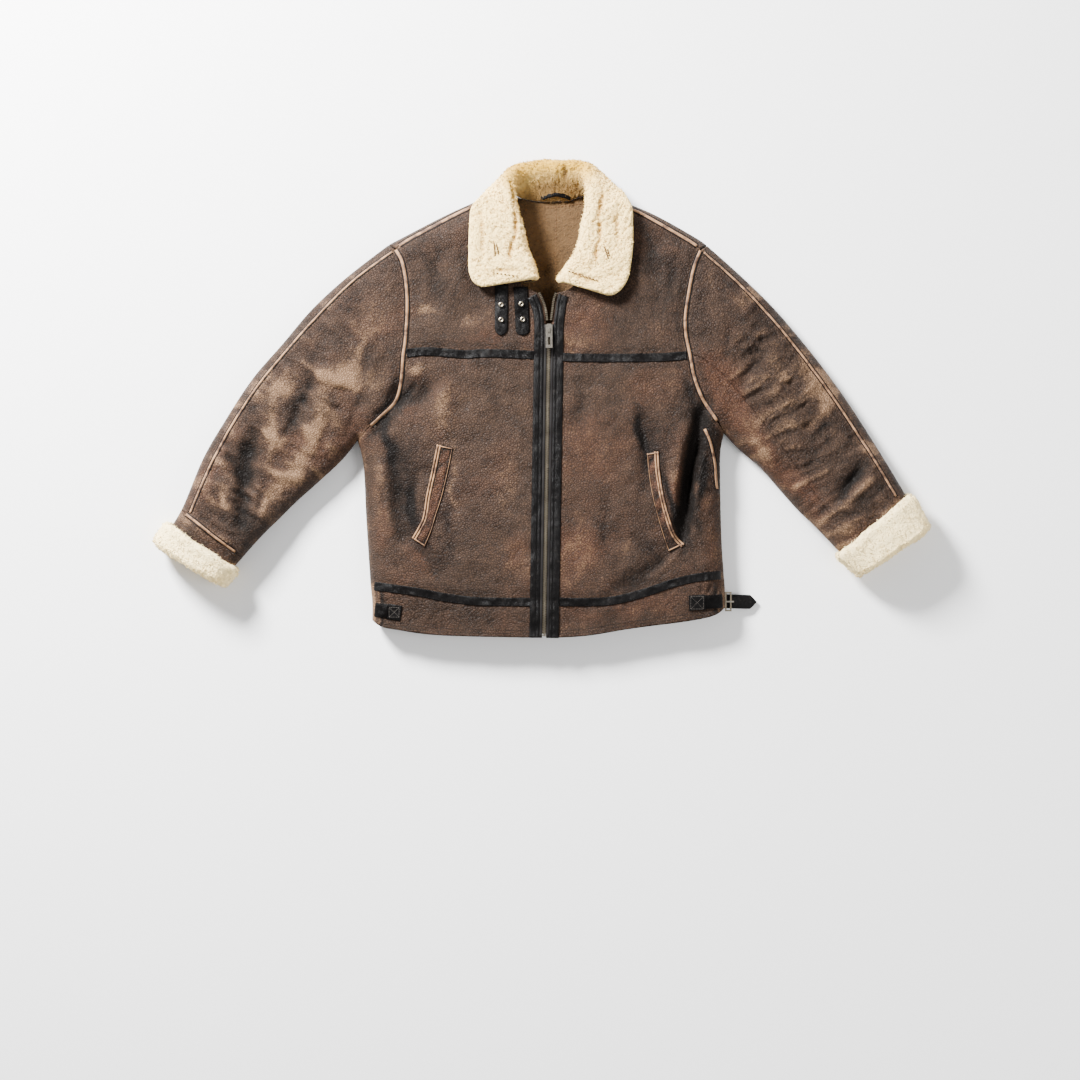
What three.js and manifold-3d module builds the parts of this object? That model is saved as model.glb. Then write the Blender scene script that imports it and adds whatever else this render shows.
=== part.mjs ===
// Shearling flight jacket with a turned-down pile collar, laid flat on its back.
// Millimetres, +X to the viewer's right, +Y to the collar, +Z up from the surface it lies on.
// "right" and "left" are the wearer's: the right front lies at negative X.
import * as THREE from "three";
import Module from "manifold-3d";

const wasm = await Module();
wasm.setup();

// Driving sizes of the skins
const WALL = 10; // shearling, leather and clipped pile together
const SEAM_GAP = 0.3; // between neighbouring pieces
const HALF = SEAM_GAP / 2;
const ARMHOLE_GAP = 1.9; // where a sleeve meets the body at the underarm
const GUSSET_GAP = 0.5; // along the sleeve's gusset, whose inner walls lean together in a fold
const CORNER_GAP = 1; // where the shoulder's turn ends against the sleeve
const SIDE_Z = 20; // height of the side fold, where front and back meet
const TOP_RISE = 24; // the front above the side fold
const TOP_REACH = 45; // how far in from the edge the front is still rounding
const UNDER_REACH = 24; // the same for the underside
const CROWN = 7; // extra height of the wide middle
const CROWN_REACH = 120;
const HEM_SINK = 9; // the front sinks towards the open hem
const PILE = 11; // thickness of the turned-back cuffs
const CUFF_CLEAR = 1.8; // between a sleeve and the cuff turned back over it
const CUFF_LIFT = PILE + CUFF_CLEAR; // the sleeve ends ride on the cuffs' pile
const CUFF_LIP = 7; // the cuff runs this far past the sleeve's mouth
const COLLAR_WALL = 12;
const SEAM_DIP = 2; // how far a seam pulls the skin down
const SEAM_DIP_WIDTH = 12;

// Driving sizes of the trims
const TRIM_GAP = 0.3; // between a trim and the panel under it
const STRIP = { width: 6.5, high: 1.8, step: 19 }; // lapped seam strips
const TAPE = { width: 14.5, high: 1.6, step: 18 }; // black tapes across the chest and above the hem
const PLACKET = { width: 17, high: 1.8, step: 19 };
const STRAP = { high: 2.4, step: 22 }; // the collar's straps
const ZIP_TAPE = { width: 4.2, high: 1, step: 30 };
const CHAIN = { width: 6.4, sink: 1.5, high: 3.4 }; // closed zip teeth
const ROW = { width: 3, high: 2.4 }; // one row of teeth above the slider
const SLIDER = {
  x: 5.1, y: 118.5, wide: 11.4, long: 15, high: 3.2, low: 1.9, archWide: 2.6, archHigh: 3.8, bar: 1.2,
  legs: { front: 113.5, rear: 120.6 },
};
const TAB = {
  hinge: 116.8, rim: 1.8, tabWide: 11.4, tabLong: 31, thick: 1.5, lift: 0.5,
  eyeWide: 4.6, eyeLong: 5.2, slotWide: 4.2, slotLong: 13,
};
const EYELET = { outer: 4.2, inner: 2, high: 1.1, sides: 10 };
const BUCKLE = { x: 310.9, y: -343, z: 16, wide: 11, long: 33, bar: 2.4, high: 3 };
const STRAP_END = { from: 318, to: 360, width: 25, thick: 2.6, tipLong: 9, fromZ: 16, toZ: 4 };
const PRONG = { off: 2.4, wide: 2.6, long: 14, thick: 1.8 };

const COLOURS = {
  leather: "#5f4638",
  wornEdge: "#b08a68",
  blackLeather: "#25211f",
  creamPile: "#eadfc2",
  steel: "#a9a49a",
  zipTape: "#2b2521",
};

const rows = (...pairs) => pairs.map(([x, y]) => ({ x, y }));

// Rows of numbers under named columns
function table(columns, ...lines) {
  const names = columns.split(" ");
  return lines.map((line) => Object.fromEntries(names.map((name, i) => [name, line[i]])));
}

// Sleeves in plan: a row for each section from the armhole to the mouth.
// edge: the overarm outline, seam: the overarm seam just inside it, under: the underarm outline.
const SLEEVE_COLUMNS = "edgeX edgeY seamX seamY underX underY";
const SLEEVES = {
  right: table(
    SLEEVE_COLUMNS,
    [-268, 265, -255, 256, -321, -68],
    [-338, 211, -326, 203, -345, -99],
    [-398, 156, -386, 144, -384, -136],
    [-450, 95, -437, 87, -422, -170],
    [-500, 37, -487, 26, -453, -201],
    [-546, -33, -532, -42, -480, -228],
    [-583, -98, -567, -108, -500, -250],
    [-619, -186, -604, -198, -515, -267],
    [-656, -243, -640, -253, -551, -308],
  ),
  left: table(
    SLEEVE_COLUMNS,
    [274, 264, 262, 255, 303, -56],
    [333, 211, 322, 202, 330, -85],
    [389, 156, 375, 147, 365, -115],
    [440, 96, 425, 87, 400, -155],
    [488, 34, 471, 26, 430, -189],
    [530, -27, 514, -36, 455, -213],
    [570, -92, 555, -101, 480, -239],
    [612, -164, 597, -173, 498, -258],
    [641, -219, 625, -230, 536, -290],
  ),
};
const MOUTH = 8; // section of the sleeve's mouth
const SLEEVE_END = { right: 7, left: MOUTH }; // the right sleeve's end is a separate band
const CUFF_FROM = { right: 7.4, left: 7.02 }; // section where the turned-back cuff ends

// Outline and seams of the fronts in plan, each row a point
const SEAMS = {
  right: {
    shoulderEdge: rows([-268, 265], [-241, 279], [-161, 320], [-78, 356]),
    shoulderSeam: rows([-255, 256], [-230, 274], [-161, 311], [-84, 346]),
    neck: rows([-84, 346], [-76, 312], [-67, 270], [-56, 228], [-42, 196], [-14, 180]),
    armholeUpper: rows([-242, 77], [-238, 102], [-235, 160], [-238, 205], [-245, 238], [-255, 256]),
    armholeLower: rows([-242, 77], [-246, 30], [-256, -4], [-284, -32], [-321, -68]),
    armholeBack: rows([-321, -68], [-262, 10], [-246, 90], [-248, 180], [-268, 265]),
    side: rows([-321, -68], [-311, -110], [-307, -190], [-303, -255], [-299, -315]),
    hemSide: rows([-299, -315], [-296, -345], [-296, -374]),
    chest: rows([-242, 77], [-197, 81], [-138, 76], [-102, 78], [-0.7, 75]),
    waist: rows([-299, -315], [-219, -326], [-173, -335], [-114, -342], [-7.4, -343]),
    hem: rows([-296, -374], [-280, -385], [-250, -391], [-177, -400], [-8.4, -404]),
    front: rows([-0.7, 75], [0, 127], [-3, 153], [-8, 168], [-14, 180]),
  },
  left: {
    shoulderEdge: rows([274, 264], [252, 279], [177, 320], [92, 352]),
    shoulderSeam: rows([262, 255], [236, 274], [170, 312], [96, 343]),
    neck: rows([96, 343], [93, 310], [86, 276], [78, 250], [64, 221], [44, 190], [19, 180]),
    armholeUpper: rows([244, 75], [237, 110], [236, 140], [241, 176], [250, 222], [262, 255]),
    armholeLower: rows([244, 75], [250, 42], [262, 8], [279, -20], [303, -56]),
    armholeBack: rows([303, -56], [266, 10], [250, 90], [252, 180], [274, 264]),
    side: rows([303, -56], [297, -90], [297, -150], [299, -235], [303, -297]),
    hemSide: rows([303, -297], [305, -325], [305, -352]),
    chest: rows([244, 75], [190, 71], [90, 70], [9.2, 73]),
    waist: rows([303, -297], [260, -301], [216, -311], [158, -330], [102, -342], [2.6, -343]),
    hem: rows([305, -352], [286, -366], [240, -376], [148, -388], [66, -401], [1.6, -404]),
    front: rows([9.2, 73], [10, 127], [13, 153], [15, 168], [19, 180]),
    gusset: rows(
      [244, 75], [262, 71], [297, 45], [338, -1], [394, -73], [433, -126], [467, -177], [495, -211],
      [525, -246], [553.8, -278],
    ),
  },
};
const BACK_NECK = rows([-78, 356], [-50, 342], [0, 335], [50, 339], [92, 352]);
const BACK_HEM = rows(
  [-296, -374], [-250, -387], [-150, -394], [0, -398], [150, -384], [240, -372], [305, -352],
);

// Largest folds: a ridge (depth above 0) or a trough along a line, bowed sideways, with soft ends
const FOLDS = table(
  "x y toX toY bow width depth",
  [-488, -30, -512, -262, -10, 15, -12],
  [-545, -90, -508, -150, 3, 12, -5],
  [-415, 40, -440, -90, 8, 18, -6],
  [-352, 110, -388, -70, -8, 24, 5],
  [-236, 60, -316, -80, 14, 15, -9],
  [-262, -22, -168, 52, -6, 18, -8],
  [-187, 66, -172, -70, 3, 16, 5],
  [-288, -80, -270, -240, 4, 16, 5],
  [-256, -60, -238, -250, -5, 17, -8],
  [-250, -215, -170, -310, 8, 16, -5],
  [-130, 290, -112, 130, 5, 18, -4],
  [174, 305, 186, 130, 4, 18, -5],
  [276, 10, 232, -268, -13, 12, -21],
  [246, -30, 214, -225, -6, 18, 6],
  [236, -236, 96, -330, 12, 15, -6],
  [165, -10, 172, -160, 4, 17, -7],
  [345, 30, 384, 125, 5, 16, -6],
  [430, -70, 520, -10, 6, 16, -5],
  [484, -178, 542, -96, -3, 13, -8],
  [405, -62, 400, 40, 8, 20, 4],
);

// Collar: a row for each station from one front end round the back of the neck to the other.
// neck: the seam, roll: the fold, edge: the loose edge of the fall, radius: of the pile face's turn
const COLLAR = table(
  "neckX neckY neckZ rollX rollY rollZ edgeX edgeY edgeZ radius",
  [-36, 198, 38, -11, 203, 52, -118, 187, 64, 14],
  [-53, 229, 38, -19, 230, 52, -130, 214, 64, 14],
  [-62, 260, 38, -31, 258, 52, -131, 250, 64, 14],
  [-70, 289, 38, -37, 287, 53, -130, 288, 64, 14],
  [-73, 316, 36, -45, 317, 54, -127, 322, 62, 14],
  [-70, 338, 30, -51, 342, 56, -114, 343, 54, 14],
  [-59, 352, 20, -55, 374, 52, -97, 361, 36, 15],
  [-40, 345, 14, -47, 397, 38, -70, 378, 14, 16],
  [-14, 340, 13, -18, 407, 28, -30, 372, 2, 18],
  [12, 340, 13, 13, 408, 25, 11, 367, 0.5, 19],
  [36, 341, 13, 44, 407, 28, 56, 373, 2, 18],
  [60, 349, 15, 66, 400, 36, 92, 383, 14, 16],
  [74, 352, 21, 69, 378, 50, 115, 370, 34, 15],
  [85, 338, 30, 68, 352, 56, 134, 350, 52, 14],
  [90, 322, 36, 65, 324, 54, 145, 327, 62, 14],
  [87, 300, 38, 60, 297, 53, 147, 297, 64, 14],
  [82, 274, 38, 55, 267, 52, 147, 264, 64, 14],
  [73, 248, 38, 46, 242, 52, 144, 232, 64, 14],
  [59, 221, 38, 31, 222, 52, 137, 200, 64, 14],
  [41, 195, 38, 15, 202, 52, 116, 171, 64, 14],
);
const COLLAR_STATIONS = 38;

// Trims that lie on the panels, by the line of their middle: seam strips, black tapes, then patches
const STRIPS = {
  right_shoulder_strip: rows([-249, 262], [-230, 274], [-161, 311], [-131, 326]),
  left_shoulder_strip: rows([256, 261], [236, 274], [170, 312], [148, 323]),
  right_armhole_strip: rows(
    [-255, 254], [-245, 236], [-238, 204], [-235, 160], [-238, 102], [-242, 74], [-246, 30],
    [-256, -3], [-280, -28], [-297, -44],
  ),
  left_armhole_strip: rows(
    [262, 253], [250, 222], [241, 176], [236, 140], [237, 110], [244, 75], [250, 42], [262, 8],
    [279, -20], [290, -36],
  ),
  right_sleeve_strip: rows(
    [-261, 251], [-326, 203], [-386, 144], [-437, 87], [-487, 26], [-532, -42], [-567, -108],
    [-602, -192],
  ),
  left_sleeve_strip: rows(
    [268, 250], [322, 202], [375, 147], [425, 87], [471, 26], [514, -36], [555, -101], [592, -164],
  ),
  right_cuff_strip: rows([-609, -194.5], [-590, -208], [-560, -232], [-526, -258]),
  left_side_strip: rows([269, -50], [279, -73], [287, -108], [289, -135], [291, -151]),
};
const TAPES = {
  right_chest_tape: rows([-236, 78], [-197, 81], [-138, 76], [-102, 78], [-20, 75]),
  left_chest_tape: rows([29, 71.5], [90, 70], [190, 71], [238, 74.5]),
  right_waist_tape: rows([-292, -316], [-219, -326], [-173, -335], [-114, -342], [-26, -343]),
  left_waist_tape: rows([23, -343], [102, -342], [158, -330], [216, -311], [260, -301], [297, -297.5]),
};
const PATCHES = [
  {
    name: "right_pocket_welt", colour: "leather", width: 26, high: 2.2, step: 20,
    line: rows([-172.5, -79], [-188, -143], [-203, -200], [-216, -243]),
  },
  {
    name: "left_pocket_welt", colour: "leather", width: 22, endWidth: 26, high: 2.2, step: 16,
    line: rows([180.5, -87], [188.5, -143], [200, -195], [222.5, -252]),
  },
  {
    name: "right_side_patch", colour: "blackLeather", width: 24, high: 2, step: 11,
    line: rows([-289, -356], [-247, -362.5]),
  },
  {
    name: "left_side_patch", colour: "blackLeather", width: 24, high: 2, step: 11,
    line: rows([243, -345], [299, -341.5]),
  },
];
const COLLAR_STRAPS = [
  {
    name: "collar_strap_a", width: 22, tip: { long: 11, left: 0.35 },
    line: rows([-75, 194], [-75.5, 150], [-76, 108]),
  },
  {
    name: "collar_strap_b", width: 24, tip: { long: 7, left: 0.6 },
    line: rows([-43, 190], [-41, 150], [-39, 108]),
  },
];
const EYELETS = [
  { name: "eyelet_a1", x: -76, y: 160 },
  { name: "eyelet_a2", x: -76, y: 134.5 },
  { name: "eyelet_b1", x: -42, y: 161 },
  { name: "eyelet_b2", x: -39.5, y: 135 },
];
const HANGER_LOOP = {
  name: "hanger_loop", colour: "blackLeather", width: 6, high: 2, step: 8,
  line: rows([-8, 345], [17, 351], [42, 345.5]),
};
const ZIP_LINE = rows([-3.3, -402], [-2.4, -343], [4.2, 75], [4.9, 110]);
const FROM_EDGE = { placket: 11.5, tape: 0.6, teeth: -2 }; // middles, out from each front's edge
const TEETH_FROM = 129; // height on the front where the teeth part

// Curves in plan

function smooth(points, perSpan = 6) {
  const knots = points.map((p) => new THREE.Vector2(p.x, p.y));
  return new THREE.SplineCurve(knots).getPoints(perSpan * (knots.length - 1));
}

const reversed = (line) => [...line].reverse();

// A line moved sideways, to its left for an offset above 0
function shifted(line, off) {
  return line.map((p, i) => {
    const d = line[Math.min(i + 1, line.length - 1)].clone().sub(line[Math.max(i - 1, 0)]).normalize();
    return new THREE.Vector2(p.x - d.y * off, p.y + d.x * off);
  });
}

const joined = (...parts) => parts.reduce((all, line) => [...all, ...line.slice(1)]);

const shares = (n) => Array.from({ length: n + 1 }, (_, i) => i / n);

// The point at a share t of a line's length
function along(line, t) {
  const steps = line.slice(1).map((p, i) => p.distanceTo(line[i]));
  let left = t * steps.reduce((a, b) => a + b, 0);
  for (let i = 0; i < steps.length - 1; i += 1) {
    if (left <= steps[i]) return line[i].clone().lerp(line[i + 1], left / steps[i]);
    left -= steps[i];
  }
  return line.at(-2).clone().lerp(line.at(-1), Math.min(left / steps.at(-1), 1));
}

function directionAt(line, t) {
  const step = 0.004;
  return along(line, Math.min(t + step, 1)).sub(along(line, Math.max(t - step, 0))).normalize();
}

// One curve run over a span of shares, or two that meet at the share called knee
const run = (line) => (t) => along(line, t);
const bent = (first, second, knee) => (t) =>
  t < knee ? along(first, t / knee) : along(second, (t - knee) / (1 - knee));

// A Coons patch between four curves: low and high run with u, start and end run with v
function patch(low, high, start, end) {
  return (u, v) => {
    const p = low(u).multiplyScalar(1 - v).addScaledVector(high(u), v);
    p.addScaledVector(start(v), 1 - u).addScaledVector(end(v), u);
    p.addScaledVector(low(0), -(1 - u) * (1 - v)).addScaledVector(low(1), -u * (1 - v));
    return p.addScaledVector(high(0), -(1 - u) * v).addScaledVector(high(1), -u * v);
  };
}

const lines = {};
for (const side of ["right", "left"]) {
  const seams = Object.entries(SEAMS[side]).map(([name, points]) => [name, smooth(points)]);
  lines[side] = Object.fromEntries(seams);
  for (const part of ["edge", "seam", "under"]) {
    lines[side][part] = smooth(SLEEVES[side].map((row) => ({ x: row[part + "X"], y: row[part + "Y"] })), 8);
  }
}

// A sleeve's edge, seam or underarm line at a section number
function section(side, part, s) {
  const line = lines[side][part];
  const at = THREE.MathUtils.clamp(s * 8, 0, line.length - 1);
  const i = Math.min(Math.floor(at), line.length - 2);
  return line[i].clone().lerp(line[i + 1], at - i);
}

// Heights of the skins

const OUTLINE = ["right", "left"].flatMap((side) => {
  const l = lines[side];
  const inside = side === "right" ? 1 : -1;
  return [
    { line: joined(reversed(l.shoulderEdge), l.edge), inside },
    { line: joined(reversed(l.under), l.side, l.hemSide), inside },
  ];
});

// The distance from a plan point to a line, and the line's direction there
function nearest(line, p) {
  let best = { away: Infinity };
  for (let i = 1; i < line.length; i += 1) {
    const dx = line[i].x - line[i - 1].x;
    const dy = line[i].y - line[i - 1].y;
    const wx = p.x - line[i - 1].x;
    const wy = p.y - line[i - 1].y;
    const t = THREE.MathUtils.clamp((wx * dx + wy * dy) / (dx * dx + dy * dy), 0, 1);
    const away = Math.hypot(wx - t * dx, wy - t * dy);
    if (away < best.away) best = { away, i };
  }
  const [from, to] = [line[Math.max(best.i - 2, 0)], line[Math.min(best.i + 1, line.length - 1)]];
  return { away: best.away, dx: to.x - from.x, dy: to.y - from.y };
}

const edgeDistance = (p) => Math.min(...OUTLINE.map(({ line }) => nearest(line, p).away));

// The level direction out of the garment at a point of its outline
function outOfEdge(p) {
  const found = OUTLINE.map(({ line, inside }) => ({ ...nearest(line, p), inside }));
  const { dx, dy, inside } = found.reduce((a, b) => (b.away < a.away ? b : a));
  return new THREE.Vector3(dy * inside, -dx * inside, 0).normalize();
}

const SEAM_LINES = ["right", "left"].flatMap((side) => {
  const l = lines[side];
  return [l.chest, l.waist, l.shoulderSeam, l.seam, joined(reversed(l.armholeUpper), l.armholeLower)];
});

const rounding = (t) => Math.sqrt(THREE.MathUtils.clamp(t, 0, 1) * (2 - THREE.MathUtils.clamp(t, 0, 1)));

const ramp = THREE.MathUtils.smoothstep;

function foldHeight(p) {
  let z = 0;
  for (const f of FOLDS) {
    const dx = f.toX - f.x;
    const dy = f.toY - f.y;
    const length = Math.hypot(dx, dy);
    const t = ((p.x - f.x) * dx + (p.y - f.y) * dy) / (length * length);
    if (t <= 0 || t >= 1) continue;
    const off = ((p.y - f.y) * dx - (p.x - f.x) * dy) / length - f.bow * 4 * t * (1 - t);
    z += f.depth * Math.exp(-((off / f.width) ** 2)) * Math.sin(Math.PI * t) ** 0.8;
  }
  return z;
}

const SLEEVE_AXES = ["right", "left"].map((side) => {
  const middle = (s) => section(side, "edge", s).add(section(side, "under", s)).multiplyScalar(0.5);
  const mouth = middle(MOUTH);
  return { side, mouth, out: mouth.clone().sub(middle(7)).normalize() };
});

function cuffLift(p) {
  return SLEEVE_AXES.reduce((z, { mouth, out }) => {
    if (p.x * mouth.x < 0 || Math.abs(p.x) < 330) return z;
    const before = -((p.x - mouth.x) * out.x + (p.y - mouth.y) * out.y);
    return z + CUFF_LIFT * (1 - ramp(before, 72, 220));
  }, 0);
}

function topHeight(p) {
  const d = edgeDistance(p);
  const seam = Math.min(...SEAM_LINES.map((line) => nearest(line, p).away));
  const soft = foldHeight(p) - SEAM_DIP * Math.exp(-((seam / SEAM_DIP_WIDTH) ** 2));
  const crown = CROWN * (1 - Math.exp(-d / CROWN_REACH));
  const hem = HEM_SINK * ramp(-p.y, 300, 400) * ramp(d, 0, 40);
  const rise = TOP_RISE * rounding(d / TOP_REACH) + crown + soft * ramp(d, 6, 42) - hem;
  return SIDE_Z + SEAM_GAP / 2 + rise + cuffLift(p);
}

function underHeight(p) {
  const left = 1 - rounding(edgeDistance(p) / UNDER_REACH);
  return (SIDE_Z - SEAM_GAP / 2) * left + cuffLift(p);
}

// The outward direction of a skin: level at the outline, from its slope further in
function outward(p, height, up) {
  const reach = 4;
  const slope = (f, h) => {
    const x = f({ x: p.x + h, y: p.y }) - f({ x: p.x - h, y: p.y });
    const y = f({ x: p.x, y: p.y + h }) - f({ x: p.x, y: p.y - h });
    return [x / (2 * h), y / (2 * h)];
  };
  if (edgeDistance(p) < 0.5) return outOfEdge(p);
  const [x, y] = slope(height, reach);
  return new THREE.Vector3(-x * up, -y * up, up).normalize();
}

// A point of the skin on the top side (up = 1) or underside (up = -1), moved out by off
function skin(p, up, off = 0) {
  const height = up > 0 ? topHeight : underHeight;
  const at = new THREE.Vector3(p.x, p.y, height(p));
  return off === 0 ? at : at.addScaledVector(outward(p, height, up), off);
}

// Solids

const jacket = new THREE.Group();
jacket.name = "shearling_jacket";

function addMesh(name, geometry, colour, roughness = 0.7, metalness = 0) {
  const material = new THREE.MeshStandardMaterial({ color: COLOURS[colour], roughness, metalness });
  const mesh = new THREE.Mesh(geometry, material);
  mesh.name = name;
  jacket.add(mesh);
}

// Triangles made into one closed body, with its faces turned out
function solidOf(points, index) {
  let volume = 0;
  for (let i = 0; i < index.length; i += 3) {
    const [a, b, c] = [points[index[i]], points[index[i + 1]], points[index[i + 2]]];
    volume += a.dot(b.clone().cross(c));
  }
  if (volume < 0) index.reverse();
  const flat = points.flatMap((p) => [p.x, p.y, p.z]);
  const geometry = new THREE.BufferGeometry();
  geometry.setAttribute("position", new THREE.Float32BufferAttribute(flat, 3));
  geometry.setIndex(index);
  return geometry;
}

// A wall between two grids of points. closed: its rows run round a tube and meet themselves.
function shell(outer, inner, closed = false) {
  const [n, m] = [outer.length, outer[0].length];
  const index = [];
  const quad = (a, b, c, d) => index.push(a, b, c, a, c, d);
  const at = (i, j) => i * m + (j % m);
  const base = n * m;
  const spans = closed ? m : m - 1;
  for (let i = 0; i < n - 1; i += 1) {
    for (let j = 0; j < spans; j += 1) {
      quad(at(i, j), at(i, j + 1), at(i + 1, j + 1), at(i + 1, j));
      quad(base + at(i, j), base + at(i + 1, j), base + at(i + 1, j + 1), base + at(i, j + 1));
    }
  }
  for (let j = 0; j < spans; j += 1) {
    quad(at(0, j + 1), at(0, j), base + at(0, j), base + at(0, j + 1));
    quad(at(n - 1, j), at(n - 1, j + 1), base + at(n - 1, j + 1), base + at(n - 1, j));
  }
  for (let i = 0; i < n - 1 && !closed; i += 1) {
    quad(at(i, 0), at(i + 1, 0), base + at(i + 1, 0), base + at(i, 0));
    quad(at(i + 1, m - 1), at(i, m - 1), base + at(i, m - 1), base + at(i + 1, m - 1));
  }
  return solidOf([...outer.flat(), ...inner.flat()], index);
}

const hosts = []; // outer faces that trims lie on

// A cloth wall under one side of the skin, from a plan patch and the shares of its rows and columns
function panel(name, plan, us, vs, up = 1) {
  const outer = vs.map((v) => us.map((u) => skin(plan(u, v), up)));
  const inner = vs.map((v) => us.map((u) => skin(plan(u, v), up, -WALL)));
  if (up > 0) {
    for (const p of inner.flat()) p.z = Math.max(p.z, SIDE_Z + HALF + cuffLift(p));
    hosts.push(outer);
  }
  addMesh(name, shell(outer, inner), "leather");
}

// Keeps a panel inside its plan lines by the millimetres given for its sides; size is its rough extent
function inset(plan, size, gaps) {
  const low = { u: (gaps.u0 ?? 0) / size.u, v: (gaps.v0 ?? 0) / size.v };
  const span = { u: 1 - low.u - (gaps.u1 ?? 0) / size.u, v: 1 - low.v - (gaps.v1 ?? 0) / size.v };
  return (u, v) => plan(low.u + u * span.u, low.v + v * span.v);
}

// Shares that crowd towards the outline, and the share where the shoulder seam meets the neck
const ACROSS = shares(15).map((t) => t ** 1.35);
const SHOULDER_COLUMNS = 9;
const SHOULDER_SHARE = ACROSS[SHOULDER_COLUMNS];
const ARMHOLE_ROWS = { upper: 8, lower: 6, side: 13, back: 8, backSide: 11 };
const LOWER_SHARE = ARMHOLE_ROWS.side / (ARMHOLE_ROWS.side + ARMHOLE_ROWS.lower);
const UPPER_SHARE = ARMHOLE_ROWS.upper / (ARMHOLE_ROWS.upper + ARMHOLE_ROWS.lower);
const BACK_SHARE = ARMHOLE_ROWS.backSide / (ARMHOLE_ROWS.backSide + ARMHOLE_ROWS.back);
const evened = (n) => shares(n).map((t) => (1 - Math.cos(Math.PI * t)) / 2);

function buildFront(side) {
  const l = lines[side];
  const [chestEnd, waistEnd, hemEnd] = [l.chest.at(-1), l.waist.at(-1), l.hem.at(-1)];
  const yokeTop = bent(l.shoulderSeam, l.neck, SHOULDER_SHARE);
  const yoke = patch(run(l.chest), yokeTop, run(l.armholeUpper), run(l.front));
  const flank = bent(reversed(l.side), reversed(l.armholeLower), LOWER_SHARE);
  const body = patch(run(l.waist), run(l.chest), flank, run([waistEnd, chestEnd]));
  const hem = patch(run(l.hem), run(l.waist), run(reversed(l.hemSide)), run([hemEnd, waistEnd]));
  const shoulder = patch(run(l.shoulderEdge), run(l.shoulderSeam),
    run([l.shoulderEdge[0], l.shoulderSeam[0]]), run([l.shoulderEdge.at(-1), l.shoulderSeam.at(-1)]));
  const rowsDown = ARMHOLE_ROWS.side + ARMHOLE_ROWS.lower;
  const yokePlan = inset(yoke, { u: 240, v: 210 }, { u0: HALF, v0: HALF, v1: HALF });
  const bodyPlan = inset(body, { u: 280, v: 400 }, { v0: HALF, v1: HALF });
  panel(`${side}_front_yoke`, yokePlan, ACROSS, shares(ARMHOLE_ROWS.upper));
  panel(`${side}_front_body`, bodyPlan, ACROSS, shares(rowsDown));
  panel(`${side}_front_hem`, inset(hem, { u: 290, v: 60 }, { v1: HALF }), ACROSS, shares(3));
  const shoulderShares = ACROSS.slice(0, SHOULDER_COLUMNS + 1).map((t) => t / SHOULDER_SHARE);
  const shoulderPlan = inset(shoulder, { u: 190, v: 11 }, { u0: CORNER_GAP, v1: HALF });
  panel(`${side}_shoulder`, shoulderPlan, shoulderShares, shares(2));
}

function buildBack() {
  const { right, left } = lines;
  const flank = (l) => bent(reversed(joined(l.side, l.hemSide)), l.armholeBack, BACK_SHARE);
  const top = joined(right.shoulderEdge, smooth(BACK_NECK), reversed(left.shoulderEdge));
  const back = patch(run(smooth(BACK_HEM)), run(top), flank(right), flank(left));
  const sideRows = shares(ARMHOLE_ROWS.backSide).map((t) => t * BACK_SHARE);
  const armRows = evened(ARMHOLE_ROWS.back).map((t) => BACK_SHARE + t * (1 - BACK_SHARE));
  const plan = inset(back, { u: 600, v: 720 }, { v1: HALF });
  panel("back", plan, evened(16), [...sideRows, ...armRows.slice(1)], -1);
}

// The sleeve's side of an armhole, moved off the body's side, and most where its walls twist to the underarm
function armholeOf(side, line, knee) {
  const moved = line.map((part) => shifted(part, side === "right" ? -1 : 1));
  const curve = knee ? bent(moved[0], moved[1], knee) : run(moved[0]);
  const still = knee ? bent(line[0], line[1], knee) : run(line[0]);
  const off = (t) => SEAM_GAP + (ARMHOLE_GAP - SEAM_GAP) * ramp(t, 0.7, 0.92);
  return (t) => still(t).lerp(curve(t), off(t) * Math.min(1, 12 * t, 20 * (1 - t)));
}

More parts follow.
